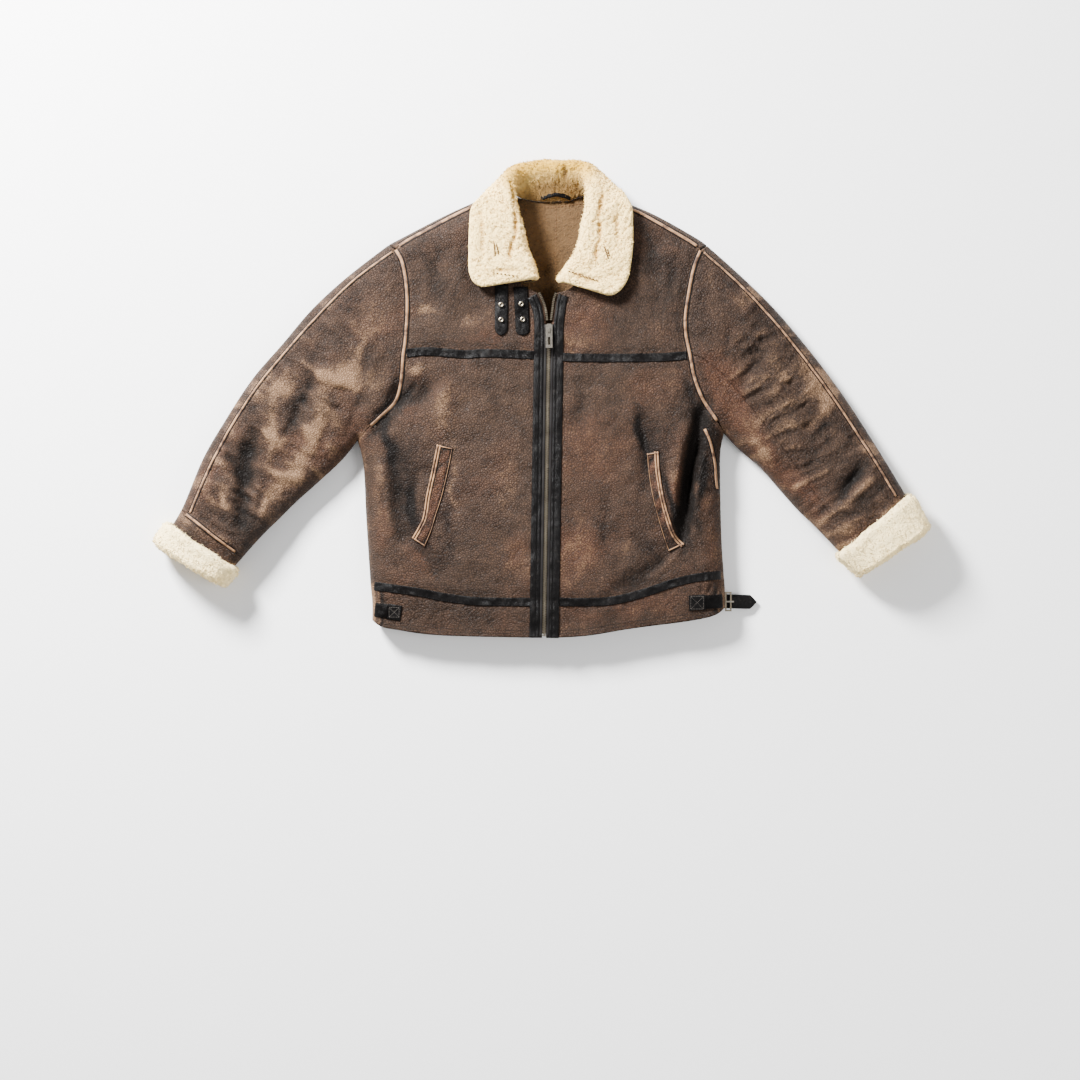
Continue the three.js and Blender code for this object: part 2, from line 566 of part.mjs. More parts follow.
// A sleeve's top half lies between the overarm seam and the underarm, cut in two where there is a
// gusset. Its other half turns over the overarm edge and runs back underneath.
function buildSleeve(side) {
  const l = lines[side];
  const end = SLEEVE_END[side];
  const upTo = (part) => (t) => section(side, part, t * end);
  const across = (from, to) => run([section(side, from, end), section(side, to, end)]);
  const armhole = armholeOf(side, [reversed(l.armholeUpper), l.armholeLower], UPPER_SHARE);
  const gaps = { u0: ARMHOLE_GAP, u1: end < MOUTH ? SEAM_GAP : 0 };
  const size = { u: 450, v: 200 };
  const ds = shares(22);
  const { upper, lower } = ARMHOLE_ROWS;
  if (l.gusset) {
    const part = (from, to) => (t) => armhole(from + t * (to - from));
    const above = patch(upTo("seam"), run(l.gusset), part(0, UPPER_SHARE),
      run([section(side, "seam", end), l.gusset.at(-1)]));
    const below = patch(run(l.gusset), upTo("under"), part(UPPER_SHARE, 1),
      run([l.gusset.at(-1), section(side, "under", end)]));
    const abovePlan = inset(above, size, { ...gaps, v0: HALF, v1: GUSSET_GAP / 2 });
    const belowPlan = inset(below, { u: 450, v: 60 }, { ...gaps, v0: GUSSET_GAP / 2 });
    panel(`${side}_sleeve_top`, abovePlan, ds, shares(upper));
    panel(`${side}_sleeve_gusset`, belowPlan, ds, shares(lower));
  } else {
    const top = patch(upTo("seam"), upTo("under"), armhole, across("seam", "under"));
    panel(`${side}_sleeve_top`, inset(top, size, { ...gaps, v0: HALF }), ds, shares(upper + lower));
  }

  const turnPlan = patch(upTo("seam"), upTo("edge"), run([l.seam[0], l.edge[0]]), across("seam", "edge"));
  const behind = armholeOf(side, [reversed(l.armholeBack)]);
  const underPlan = patch(upTo("edge"), upTo("under"), behind, across("edge", "under"));
  const turn = inset(turnPlan, { u: 450, v: 14 }, { ...gaps, v0: HALF });
  const under = inset(underPlan, size, gaps);
  const turnShares = shares(2).slice(0, 2);
  const rowsOf = (off) => [
    ...turnShares.map((v) => ds.map((u) => skin(turn(u, v), 1, off))),
    ...evened(ARMHOLE_ROWS.back).map((v) => ds.map((u) => skin(under(u, v), -1, off))),
  ];
  addMesh(`${side}_sleeve_back`, shell(rowsOf(0), rowsOf(-WALL)), "leather");
  hosts.push([0, 0.5, 1].map((v) => ds.map((u) => skin(turn(u, v), 1))));
}

// A sleeve's end as a tube. The ring starts at the overarm edge and goes round by the top.
const RING = [...evened(8).slice(1).map((c) => [c, 1]), ...evened(8).slice(1).map((c) => [1 - c, -1])];

function tubeRing(side, s, off, beyond = 0) {
  const { out } = SLEEVE_AXES.find((axis) => axis.side === side);
  const [edge, under] = [section(side, "edge", s), section(side, "under", s)];
  return RING.map(([c, up]) => {
    const at = skin(edge.clone().lerp(under, c), up, off);
    return at.add(new THREE.Vector3(out.x * beyond, out.y * beyond, 0));
  });
}

function buildCuffs() {
  const bandRings = [7.006, 7.33, 7.67, MOUTH];
  const band = (off) => bandRings.map((s) => tubeRing("right", s, off));
  addMesh("right_cuff_band", shell(band(0), band(-WALL), true), "leather");
  hosts.push(band(0).map((ring) => ring.slice(0, 8)));
  for (const side of ["right", "left"]) {
    const from = CUFF_FROM[side];
    const span = MOUTH - from;
    const profile = [
      { s: from, off: CUFF_CLEAR, beyond: 0 },
      { s: from, off: PILE * 0.7, beyond: 0 },
      { s: from + span * 0.12, off: PILE + CUFF_CLEAR, beyond: 0 },
      { s: from + span * 0.6, off: PILE + CUFF_CLEAR, beyond: 0 },
      { s: MOUTH, off: PILE + CUFF_CLEAR, beyond: 0 },
      { s: MOUTH, off: PILE * 0.55, beyond: CUFF_LIP * 0.8 },
      { s: MOUTH, off: -WALL * 0.5, beyond: CUFF_LIP },
      { s: MOUTH, off: -WALL * 0.9, beyond: CUFF_LIP * 0.7 },
      { s: MOUTH, off: -WALL * 0.9, beyond: CUFF_CLEAR * 1.4 },
      { s: MOUTH, off: CUFF_CLEAR, beyond: CUFF_CLEAR * 1.4 },
      { s: from + span * 0.75, off: CUFF_CLEAR, beyond: 0 },
      { s: from + span * 0.5, off: CUFF_CLEAR, beyond: 0 },
    ];
    const rings = profile.map(({ s, off, beyond }) => tubeRing(side, s, off, beyond));
    addMesh(`${side}_cuff_pile`, lattice(rings), "creamPile", 0.95);
  }
}

// A closed body whose grid meets itself both ways
function lattice(grid) {
  const [n, m] = [grid.length, grid[0].length];
  const index = [];
  const at = (i, j) => (i % n) * m + (j % m);
  for (let i = 0; i < n; i += 1) {
    for (let j = 0; j < m; j += 1) {
      index.push(at(i, j), at(i, j + 1), at(i + 1, j + 1), at(i, j), at(i + 1, j + 1), at(i + 1, j));
    }
  }
  return solidOf(grid.flat(), index);
}

// The collar's pile face at a station: up the stand, round the roll and out to the fall's edge
const COLLAR_CURVES = Object.fromEntries(["neck", "roll", "edge"].map((part) => {
  const knots = COLLAR.map((row) => new THREE.Vector3(row[part + "X"], row[part + "Y"], row[part + "Z"]));
  return [part, new THREE.CatmullRomCurve3(knots, false, "catmullrom", 0.5)];
}));

const COLLAR_TURN = { from: 3, to: 8, last: 14 }; // columns of the profile where the roll begins and ends

function collarPoint(t, j) {
  const [neck, roll, edge] = ["neck", "roll", "edge"].map((part) => COLLAR_CURVES[part].getPoint(t));
  const at = t * (COLLAR.length - 1);
  const i = Math.min(Math.floor(at), COLLAR.length - 2);
  const radius = THREE.MathUtils.lerp(COLLAR[i].radius, COLLAR[i + 1].radius, at - i);
  const inward = neck.clone().add(edge).multiplyScalar(0.5).sub(roll).normalize();
  const across = edge.clone().sub(neck);
  across.addScaledVector(inward, -across.dot(inward)).normalize();
  const turn = (angle) => roll.clone().addScaledVector(inward, radius * (1 - Math.cos(angle)))
    .addScaledVector(across, radius * Math.sin(angle));
  const { from, to, last } = COLLAR_TURN;
  if (j < from) return neck.lerp(turn(-Math.PI / 2), j / from);
  if (j <= to) return turn(-Math.PI / 2 + (Math.PI * (j - from)) / (to - from));
  const p = turn(Math.PI / 2).lerp(edge, (j - to) / (last - to));
  const onFront = t < 0.24 || t > 0.74;
  if (onFront) p.z = Math.max(p.z, topHeight(p) + COLLAR_WALL + 1.6);
  return p;
}

function buildCollar() {
  const ts = shares(COLLAR_STATIONS);
  const columns = Array.from({ length: COLLAR_TURN.last + 1 }, (_, j) => j);
  const face = ts.map((t) => columns.map((j) => collarPoint(t, j)));
  const turned = face.map((row, i) => row.map((p, j) => {
    const du = face[Math.min(i + 1, face.length - 1)][j].clone().sub(face[Math.max(i - 1, 0)][j]);
    const dv = row[Math.min(j + 1, row.length - 1)].clone().sub(row[Math.max(j - 1, 0)]);
    return p.clone().addScaledVector(du.cross(dv).normalize(), -COLLAR_WALL);
  }));
  addMesh("collar", shell(face, turned), "creamPile", 0.95);
  hosts.push(face.map((row) => row.slice(0, COLLAR_TURN.to + 1)));
}

// Height of the panels' own faces at a plan point, so that what lies on them follows their facets
const boxes = new Map();

function faceHeight(x, y) {
  let best = -Infinity;
  for (const grid of hosts) {
    if (!boxes.has(grid)) boxes.set(grid, new THREE.Box3().setFromPoints(grid.flat()));
    const { min, max } = boxes.get(grid);
    if (x < min.x || x > max.x || y < min.y || y > max.y) continue;
    for (let i = 0; i < grid.length - 1; i += 1) {
      for (let j = 0; j < grid[0].length - 1; j += 1) {
        const [a, b, c, d] = [grid[i][j], grid[i][j + 1], grid[i + 1][j + 1], grid[i + 1][j]];
        if (Math.min(a.x, b.x, c.x, d.x) > x || Math.max(a.x, b.x, c.x, d.x) < x) continue;
        if (Math.min(a.y, b.y, c.y, d.y) > y || Math.max(a.y, b.y, c.y, d.y) < y) continue;
        best = Math.max(best, heightIn(x, y, a, b, c), heightIn(x, y, a, c, d));
      }
    }
  }
  return best;
}

function heightIn(x, y, a, b, c) {
  const area = (b.x - a.x) * (c.y - a.y) - (c.x - a.x) * (b.y - a.y);
  if (Math.abs(area) < 1e-9) return -Infinity;
  const s = ((b.x - x) * (c.y - y) - (c.x - x) * (b.y - y)) / area;
  const t = ((c.x - x) * (a.y - y) - (a.x - x) * (c.y - y)) / area;
  return s < 0 || t < 0 || s + t > 1 ? -Infinity : s * a.z + t * b.z + (1 - s - t) * c.z;
}

// The face height with the seam gaps bridged, and the skin's own height where a trim overhangs a panel
function drape(x, y) {
  const reach = 0.8;
  const around = [[0, 0], [reach, 0], [-reach, 0], [0, reach], [0, -reach]];
  const best = Math.max(...around.map(([dx, dy]) => faceHeight(x + dx, y + dy)));
  return best > 0 ? best : topHeight({ x, y });
}

// Lowers a grid of plan points onto the faces, a gap clear of them everywhere between its points too
function settle(grid, gap) {
  for (const p of grid.flat()) p.z = drape(p.x, p.y) + gap;
  const stops = [0, 0.25, 0.5, 0.75, 1];
  for (let pass = 0; pass < 5; pass += 1) {
    for (let i = 0; i < grid.length - 1; i += 1) {
      for (let j = 0; j < grid[0].length - 1; j += 1) {
        const [a, b, c, d] = [grid[i][j], grid[i][j + 1], grid[i + 1][j + 1], grid[i + 1][j]];
        let short = -gap / 2;
        for (const u of stops) {
          for (const v of stops) {
            const p = a.clone().lerp(b, u).lerp(d.clone().lerp(c, u), v);
            short = Math.max(short, drape(p.x, p.y) + gap - p.z);
          }
        }
        if (short > -gap / 2) for (const p of [a, b, c, d]) p.z += short + gap / 2;
      }
    }
  }
  return grid;
}

const lengthOf = (curve) => curve.slice(1).reduce((sum, p, i) => sum + p.distanceTo(curve[i]), 0);

// A strip of even thickness on the panels, its points about a step apart. tip: how long its narrowed
// end is and the share of the width left there.
function strip({ name, line, width, high, colour, endWidth = width, step = 14, tip }, across = 1) {
  const curve = line[0].isVector2 ? line : smooth(line, 8);
  const length = lengthOf(curve);
  const body = tip ? 1 - tip.long / length : 1;
  const ts = shares(Math.max(2, Math.round(length / step))).map((t) => t * body);
  if (tip) ts.push(1);
  const plan = ts.map((t) => {
    const tangent = directionAt(curve, t);
    const half = (THREE.MathUtils.lerp(width, endWidth, t) / 2) * (tip && t === 1 ? tip.left : 1);
    return shares(across).map((c) => {
      const p = along(curve, t);
      const off = (c * 2 - 1) * half;
      return new THREE.Vector3(p.x - tangent.y * off, p.y + tangent.x * off, 0);
    });
  });
  const low = settle(plan, TRIM_GAP);
  const top = low.map((row) => row.map((p) => new THREE.Vector3(p.x, p.y, p.z + high)));
  addMesh(name, shell(top, low), colour, colour === "steel" ? 0.4 : 0.6, colour === "steel" ? 0.8 : 0);
  hosts.push(top);
}

// The zip's teeth stand between the two fronts, on no panel
function chain(name, line, { width, sink = 0, high }, step = 24) {
  const curve = line[0].isVector2 ? line : smooth(line, 8);
  const ts = shares(Math.round(lengthOf(curve) / step));
  const low = ts.map((t) => {
    const tangent = directionAt(curve, t);
    return [-0.5, 0.5].map((side) => {
      const p = along(curve, t);
      const z = topHeight(p) - sink;
      return new THREE.Vector3(p.x - tangent.y * side * width, p.y + tangent.x * side * width, z);
    });
  });
  const top = low.map((row) => row.map((p) => new THREE.Vector3(p.x, p.y, p.z + high)));
  addMesh(name, shell(top, low), "steel", 0.45, 0.8);
}

function buildEyelet({ name, x, y }) {
  const low = drape(x, y) + TRIM_GAP;
  const { outer, inner, high } = EYELET;
  const middle = (outer + inner) / 2;
  const profile = [[inner, 0], [outer, 0], [outer, high * 0.5], [middle, high], [inner, high * 0.6]];
  const rings = profile.map(([r, z]) => Array.from({ length: EYELET.sides }, (_, i) => {
    const angle = (i / EYELET.sides) * 2 * Math.PI;
    return new THREE.Vector3(x + r * Math.cos(angle), y + r * Math.sin(angle), low + z);
  }));
  addMesh(name, lattice(rings), "steel", 0.4, 0.85);
}

// Hardware

const block = ([x, y, z], [wide, long, high]) =>
  wasm.Manifold.cube([wide, long, high], true).translate([x, y, z + high / 2]);

function addHard(name, solid, colour = "steel") {
  const mesh = solid.getMesh();
  const points = [];
  for (let i = 0; i < mesh.vertProperties.length; i += mesh.numProp) {
    points.push(new THREE.Vector3(...mesh.vertProperties.slice(i, i + 3)));
  }
  addMesh(name, solidOf(points, Array.from(mesh.triVerts)), colour, 0.35, 0.9);
}

function buildSlider() {
  const { x, y, wide, long, high, archWide, archHigh, bar, legs, low } = SLIDER;
  const z = topHeight({ x, y }) + low;
  const top = z + high;
  const body = block([x, y, z], [wide, long, high]);
  const nose = block([x, y + long / 2, z], [wide * 0.62, 3, high]);
  const leg = (at) => block([x, at, top - 0.5], [archWide, bar, archHigh - bar + 0.6]);
  const between = (legs.front + legs.rear) / 2;
  const span = block([x, between, top + archHigh - bar], [archWide, legs.rear - legs.front + bar, bar]);
  addHard("zip_slider", body.add(nose).add(leg(legs.front)).add(leg(legs.rear)).add(span));

  const { hinge, rim, tabWide, tabLong, thick, eyeWide, eyeLong, slotWide, slotLong, lift } = TAB;
  const head = hinge + rim / 2;
  const plate = block([x, head - tabLong / 2, top + lift], [tabWide, tabLong, thick]);
  const neck = (side) =>
    block([x + side * tabWide * 0.5, head, top + lift - 1], [tabWide * 0.3, 5, thick + 2]);
  const eye = block([x, hinge - rim / 2 - eyeLong / 2, top + lift - 1], [eyeWide, eyeLong, thick + 2]);
  const slot = block([x, head - tabLong + 5 + slotLong / 2, top + lift - 1], [slotWide, slotLong, thick + 2]);
  addHard("zip_pull", plate.subtract(neck(-1)).subtract(neck(1)).subtract(eye).subtract(slot));
}

// The side strap: a buckle frame beside the hem's edge and the strap's end beyond it
function buildSideStrap() {
  const { x, y, z, wide, long, bar, high } = BUCKLE;
  const hole = block([x, y, z - 1], [wide - 2 * bar, long - 2 * bar, high + 2]);
  addHard("side_buckle", block([x, y, z], [wide, long, high]).subtract(hole));
  const { from, to, width, thick, tipLong, fromZ, toZ } = STRAP_END;
  const at = (t, share) =>
    new THREE.Vector3(from + (to - from) * t, y + width * share, fromZ + (toZ - fromZ) * t);
  const stations = [[0, 1], [0.3, 1], [0.6, 1], [1 - tipLong / (to - from), 1], [1, 0.3]];
  const low = stations.map(([t, full]) => [-0.5, 0, 0.5].map((share) => at(t, share * full)));
  const top = low.map((row) => row.map((p) => new THREE.Vector3(p.x, p.y, p.z + thick)));
  addMesh("side_strap_end", shell(top, low), "blackLeather");
  const prongAt = [x + PRONG.off, y, z + high + TRIM_GAP];
  addHard("buckle_prong", block(prongAt, [PRONG.long, PRONG.wide, PRONG.thick]));
}

// Plackets, zip tapes and teeth follow the two front edges
function buildClosure() {
  for (const side of ["right", "left"]) {
    const l = lines[side];
    const out = side === "right" ? 1 : -1;
    const edge = [...[l.hem, l.waist].map((line) => line.at(-1)), ...l.front];
    const upper = edge.filter((p) => p.y > TEETH_FROM);
    const lower = edge.filter((p) => p.y < TEETH_FROM);
    const tapeLine = shifted(lower, FROM_EDGE.tape * out);
    const placketLine = shifted(edge, FROM_EDGE.placket * out);
    strip({ name: `${side}_zip_tape`, line: tapeLine, ...ZIP_TAPE, colour: "zipTape" });
    strip({ name: `${side}_placket`, line: placketLine, ...PLACKET, colour: "blackLeather" });
    chain(`${side}_teeth_row`, shifted(upper, FROM_EDGE.teeth * out), { ...ROW, sink: -0.4 }, 12);
  }
  chain("zip_chain", ZIP_LINE, CHAIN);
}

for (const side of ["right", "left"]) {
  buildFront(side);
  buildSleeve(side);
}
buildBack();
buildCuffs();
for (const [name, line] of Object.entries(STRIPS)) strip({ name, line, ...STRIP, colour: "wornEdge" });
for (const [name, line] of Object.entries(TAPES)) strip({ name, line, ...TAPE, colour: "blackLeather" }, 2);
for (const patchOf of PATCHES) strip(patchOf, 2);
buildClosure();
for (const strap of COLLAR_STRAPS) strip({ ...strap, ...STRAP, colour: "blackLeather" }, 2);
for (const eyelet of EYELETS) buildEyelet(eyelet);
buildCollar();
strip(HANGER_LOOP);
buildSlider();
buildSideStrap();

export default jacket;
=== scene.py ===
"""Shearling flight jacket laid flat: hide, wool pile, tapes, straps, stitching and zip round the solids.

Sizes are millimetres in the tables and metres in the meshes. +X to the viewer's right, +Y to the
collar, +Z up. "right" and "left" are the wearer's: the right front lies at negative X.
"""

import math

import bpy
import numpy as np
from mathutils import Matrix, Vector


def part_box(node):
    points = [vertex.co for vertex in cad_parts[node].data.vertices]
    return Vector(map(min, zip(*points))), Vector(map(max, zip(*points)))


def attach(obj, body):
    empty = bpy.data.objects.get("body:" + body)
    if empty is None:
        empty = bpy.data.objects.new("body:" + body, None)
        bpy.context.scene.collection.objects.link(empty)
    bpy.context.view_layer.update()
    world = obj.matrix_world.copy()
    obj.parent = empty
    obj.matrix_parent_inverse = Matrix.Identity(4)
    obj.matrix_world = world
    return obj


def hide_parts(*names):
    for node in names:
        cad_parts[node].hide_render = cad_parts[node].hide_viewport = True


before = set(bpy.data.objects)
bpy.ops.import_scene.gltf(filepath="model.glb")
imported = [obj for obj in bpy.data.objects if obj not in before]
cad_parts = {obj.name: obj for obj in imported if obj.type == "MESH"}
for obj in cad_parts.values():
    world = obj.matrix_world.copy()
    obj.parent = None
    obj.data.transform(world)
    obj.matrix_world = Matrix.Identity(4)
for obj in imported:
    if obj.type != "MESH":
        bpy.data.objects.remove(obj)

bl_info = {
    "name": "Shearling flight jacket",
    "version": (1, 0, 0),
    "blender": (4, 5, 0),
    "location": "3D Viewport > Sidebar > Jacket",
    "description": "Dresses the flight jacket in hide, wool pile, tapes, stitching and a zip",
    "category": "Add Mesh",
}

MM = 0.001

# Sizes of the skins, in millimetres
WALL = 10.0  # hide and clipped pile together
HIDE = 1.8  # the hide alone, seen at a cut edge
SEAM_GAP = 0.3  # between two panels
HALF = SEAM_GAP / 2
ARMHOLE_GAP = 1.9  # at the lower armholes, where the sleeve turns under
CORNER_GAP = 1.0  # at the shoulders' outer corners
SIDE_Z = 20.0  # height of the outline, where the skin turns under
TOP_RISE, TOP_REACH = 24.0, 45.0  # the round from the outline up to the front: how high, how far in
UNDER_REACH = 24.0  # the round down to the floor
CROWN, CROWN_REACH = 7.0, 120.0  # the slow rise of the wide middle
HEM_SINK = 9.0  # how much lower the front lies at the hem
PILE = 11.0  # wool of the turned-back cuffs
CUFF_CLEAR = 1.8  # between the sleeve and that wool
CUFF_LIFT = PILE + CUFF_CLEAR
CUFF_LIP = 7.0  # how far the wool stands past the mouth
COLLAR_WALL = 12.0
SEAM_DIP, SEAM_DIP_WIDTH = 2.0, 12.0  # the dip along a seam
FLEECE = 6.5  # cell of the lining's and the cuffs' curls

# Sleeves in plan, a row for each section from the armhole to the mouth: x and y of the overarm
# outline (edge), of the overarm seam just inside it (seam) and of the underarm outline (under)
SLEEVES = {
    "right": (
        (-268, 265, -255, 256, -321, -68),
        (-338, 211, -326, 203, -345, -99),
        (-398, 156, -386, 144, -384, -136),
        (-450, 95, -437, 87, -422, -170),
        (-500, 37, -487, 26, -453, -201),
        (-546, -33, -532, -42, -480, -228),
        (-583, -98, -567, -108, -500, -250),
        (-619, -186, -604, -198, -515, -267),
        (-656, -243, -640, -253, -551, -308),
    ),
    "left": (
        (274, 264, 262, 255, 303, -56),
        (333, 211, 322, 202, 330, -85),
        (389, 156, 375, 147, 365, -115),
        (440, 96, 425, 87, 400, -155),
        (488, 34, 471, 26, 430, -189),
        (530, -27, 514, -36, 455, -213),
        (570, -92, 555, -101, 480, -239),
        (612, -164, 597, -173, 498, -258),
        (641, -219, 625, -230, 536, -290),
    ),
}
# Section numbers: the mouth, where each sleeve's panels end, and where its cuff's wool begins
MOUTH = 8
SLEEVE_END = {"right": 7, "left": MOUTH}
CUFF_FROM = {"right": 7.4, "left": 7.02}

# Outline and seams of the fronts in plan, each pair a point
SEAMS = {
    "right": {
        "shoulderEdge": ((-268, 265), (-241, 279), (-161, 320), (-78, 356)),
        "shoulderSeam": ((-255, 256), (-230, 274), (-161, 311), (-84, 346)),
        "neck": ((-84, 346), (-76, 312), (-67, 270), (-56, 228), (-42, 196), (-14, 180)),
        "armholeUpper": ((-242, 77), (-238, 102), (-235, 160), (-238, 205), (-245, 238), (-255, 256)),
        "armholeLower": ((-242, 77), (-246, 30), (-256, -4), (-284, -32), (-321, -68)),
        "armholeBack": ((-321, -68), (-262, 10), (-246, 90), (-248, 180), (-268, 265)),
        "side": ((-321, -68), (-311, -110), (-307, -190), (-303, -255), (-299, -315)),
        "hemSide": ((-299, -315), (-296, -345), (-296, -374)),
        "chest": ((-242, 77), (-197, 81), (-138, 76), (-102, 78), (-0.7, 75)),
        "waist": ((-299, -315), (-219, -326), (-173, -335), (-114, -342), (-7.4, -343)),
        "hem": ((-296, -374), (-280, -385), (-250, -391), (-177, -400), (-8.4, -404)),
        "front": ((-0.7, 75), (0, 127), (-3, 153), (-8, 168), (-14, 180)),
    },
    "left": {
        "shoulderEdge": ((274, 264), (252, 279), (177, 320), (92, 352)),
        "shoulderSeam": ((262, 255), (236, 274), (170, 312), (96, 343)),
        "neck": ((96, 343), (93, 310), (86, 276), (78, 250), (64, 221), (44, 190), (19, 180)),
        "armholeUpper": ((244, 75), (237, 110), (236, 140), (241, 176), (250, 222), (262, 255)),
        "armholeLower": ((244, 75), (250, 42), (262, 8), (279, -20), (303, -56)),
        "armholeBack": ((303, -56), (266, 10), (250, 90), (252, 180), (274, 264)),
        "side": ((303, -56), (297, -90), (297, -150), (299, -235), (303, -297)),
        "hemSide": ((303, -297), (305, -325), (305, -352)),
        "chest": ((244, 75), (190, 71), (90, 70), (9.2, 73)),
        "waist": ((303, -297), (260, -301), (216, -311), (158, -330), (102, -342), (2.6, -343)),
        "hem": ((305, -352), (286, -366), (240, -376), (148, -388), (66, -401), (1.6, -404)),
        "front": ((9.2, 73), (10, 127), (13, 153), (15, 168), (19, 180)),
        "gusset": (
            (244, 75), (262, 71), (297, 45), (338, -1), (394, -73), (433, -126), (467, -177),
            (495, -211), (525, -246), (553.8, -278),
        ),
    },
}
BACK_NECK = ((-78, 356), (-44, 345.5), (-14, 339.8), (12, 339.4), (36, 340.6), (62, 348), (92, 352))
BACK_HEM = ((-296, -374), (-250, -387), (-150, -394), (0, -398), (150, -384), (240, -372), (305, -352))

# Folds: a ridge (depth above 0) or a trough along a line, bowed sideways, with soft ends, as
# x y toX toY bow width depth. The first table is in the solids too, the second is finer creases.
FOLDS = (
    (-488, -30, -512, -262, -10, 15, -12),
    (-545, -90, -508, -150, 3, 12, -5),
    (-415, 40, -440, -90, 8, 18, -6),
    (-352, 110, -388, -70, -8, 24, 5),
    (-236, 60, -316, -80, 14, 15, -9),
    (-262, -22, -168, 52, -6, 18, -8),
    (-187, 66, -172, -70, 3, 16, 5),
    (-288, -80, -270, -240, 4, 16, 5),
    (-256, -60, -238, -250, -5, 17, -8),
    (-250, -215, -170, -310, 8, 16, -5),
    (-130, 290, -112, 130, 5, 18, -4),
    (174, 305, 186, 130, 4, 18, -5),
    (276, 10, 232, -268, -13, 12, -21),
    (246, -30, 214, -225, -6, 18, 6),
    (236, -236, 96, -330, 12, 15, -6),
    (165, -10, 172, -160, 4, 17, -7),
    (345, 30, 384, 125, 5, 16, -6),
    (430, -70, 520, -10, 6, 16, -5),
    (484, -178, 542, -96, -3, 13, -8),
    (405, -62, 400, 40, 8, 20, 4),
)
CREASES = (
    (-560, -163, -541, -211, 2, 6, -3),
    (-544, -87, -517, -136, 3, 5, -2.5),
    (-472, -87, -500, -225, 6, 7, -3),
    (-455, -60, -478, -170, -6, 9, 2.5),
    (-420, -5, -452, -70, 5, 6, -2.2),
    (-385, 60, -412, -20, -4, 7, -2),
    (-365, -20, -395, -110, 4, 8, -2.5),
    (-300, 120, -318, 20, 5, 9, -2.2),
    (-290, 40, -340, -70, -6, 7, -2.5),
    (-214, 37, -269, -17, 5, 6, -3),
    (-240, -90, -232, -190, 3, 6, -2),
    (-276, -130, -270, -230, -3, 6, -2),
    (-150, -180, -158, -290, -4, 9, -1.6),
    (-90, 40, -84, -60, 3, 10, -1.4),
    (-196, 250, -190, 150, 4, 10, -2),
    (-60, -200, -54, -320, 4, 12, -1.5),
    (60, 40, 66, -90, -4, 12, -1.6),
    (100, -150, 94, -280, 4, 12, -1.5),
    (140, 280, 128, 160, -3, 9, -1.8),
    (216, 250, 204, 160, 4, 9, -2),
    (232, 40, 258, -60, 6, 7, -2.5),
    (252, -216, 160, -311, 10, 6, 3),
    (262, -60, 250, -160, 3, 6, -2.5),
    (541, -101, 496, -164, 3, 6, -3),
    (483, -177, 452, -202, 2, 6, -2.2),
    (471, -25, 411, -57, 4, 6, -2.2),
    (552, -167, 558, -192, 2, 5, -2),
    (300, 60, 330, 150, 4, 8, -2.4),
    (312, 0, 350, 60, -4, 7, -2),
    (380, -20, 430, 40, 4, 8, -2),
    (440, -120, 490, -60, 3, 7, -2.4),
    (340, -60, 390, -120, 4, 8, 2),
    (520, -180, 575, -130, 3, 7, -2.2),
    (266, -317, 259, -331, 0, 3, -2.5),
    (278, -314, 274, -330, 0, 3, -2.5),
    (291, -312, 291, -329, 0, 3, -2.5),
    (300, -313, 303, -329, 0, 2.5, -2),
    (-284, -333, -277, -346, 0, 3, -2.5),
    (-270, -336, -273, -349, 0, 3, -2),
    (-262, -272, -240, -308, 2, 3, -2),
    (-250, -268, -232, -306, 2, 3, -1.6),
    (-236, -280, -222, -310, 0, 3, -1.4),
    (157, -30, 170, -98, 0, 5, -3.5),
    (-214, -110, -228, -226, -6, 7, -4),
    (201, -96, 228, -234, -5, 5, -4),
    (268, -50, 240, -236, -9, 6, -6),
    (277, -60, 254, -205, -8, 6, 3.5),
)

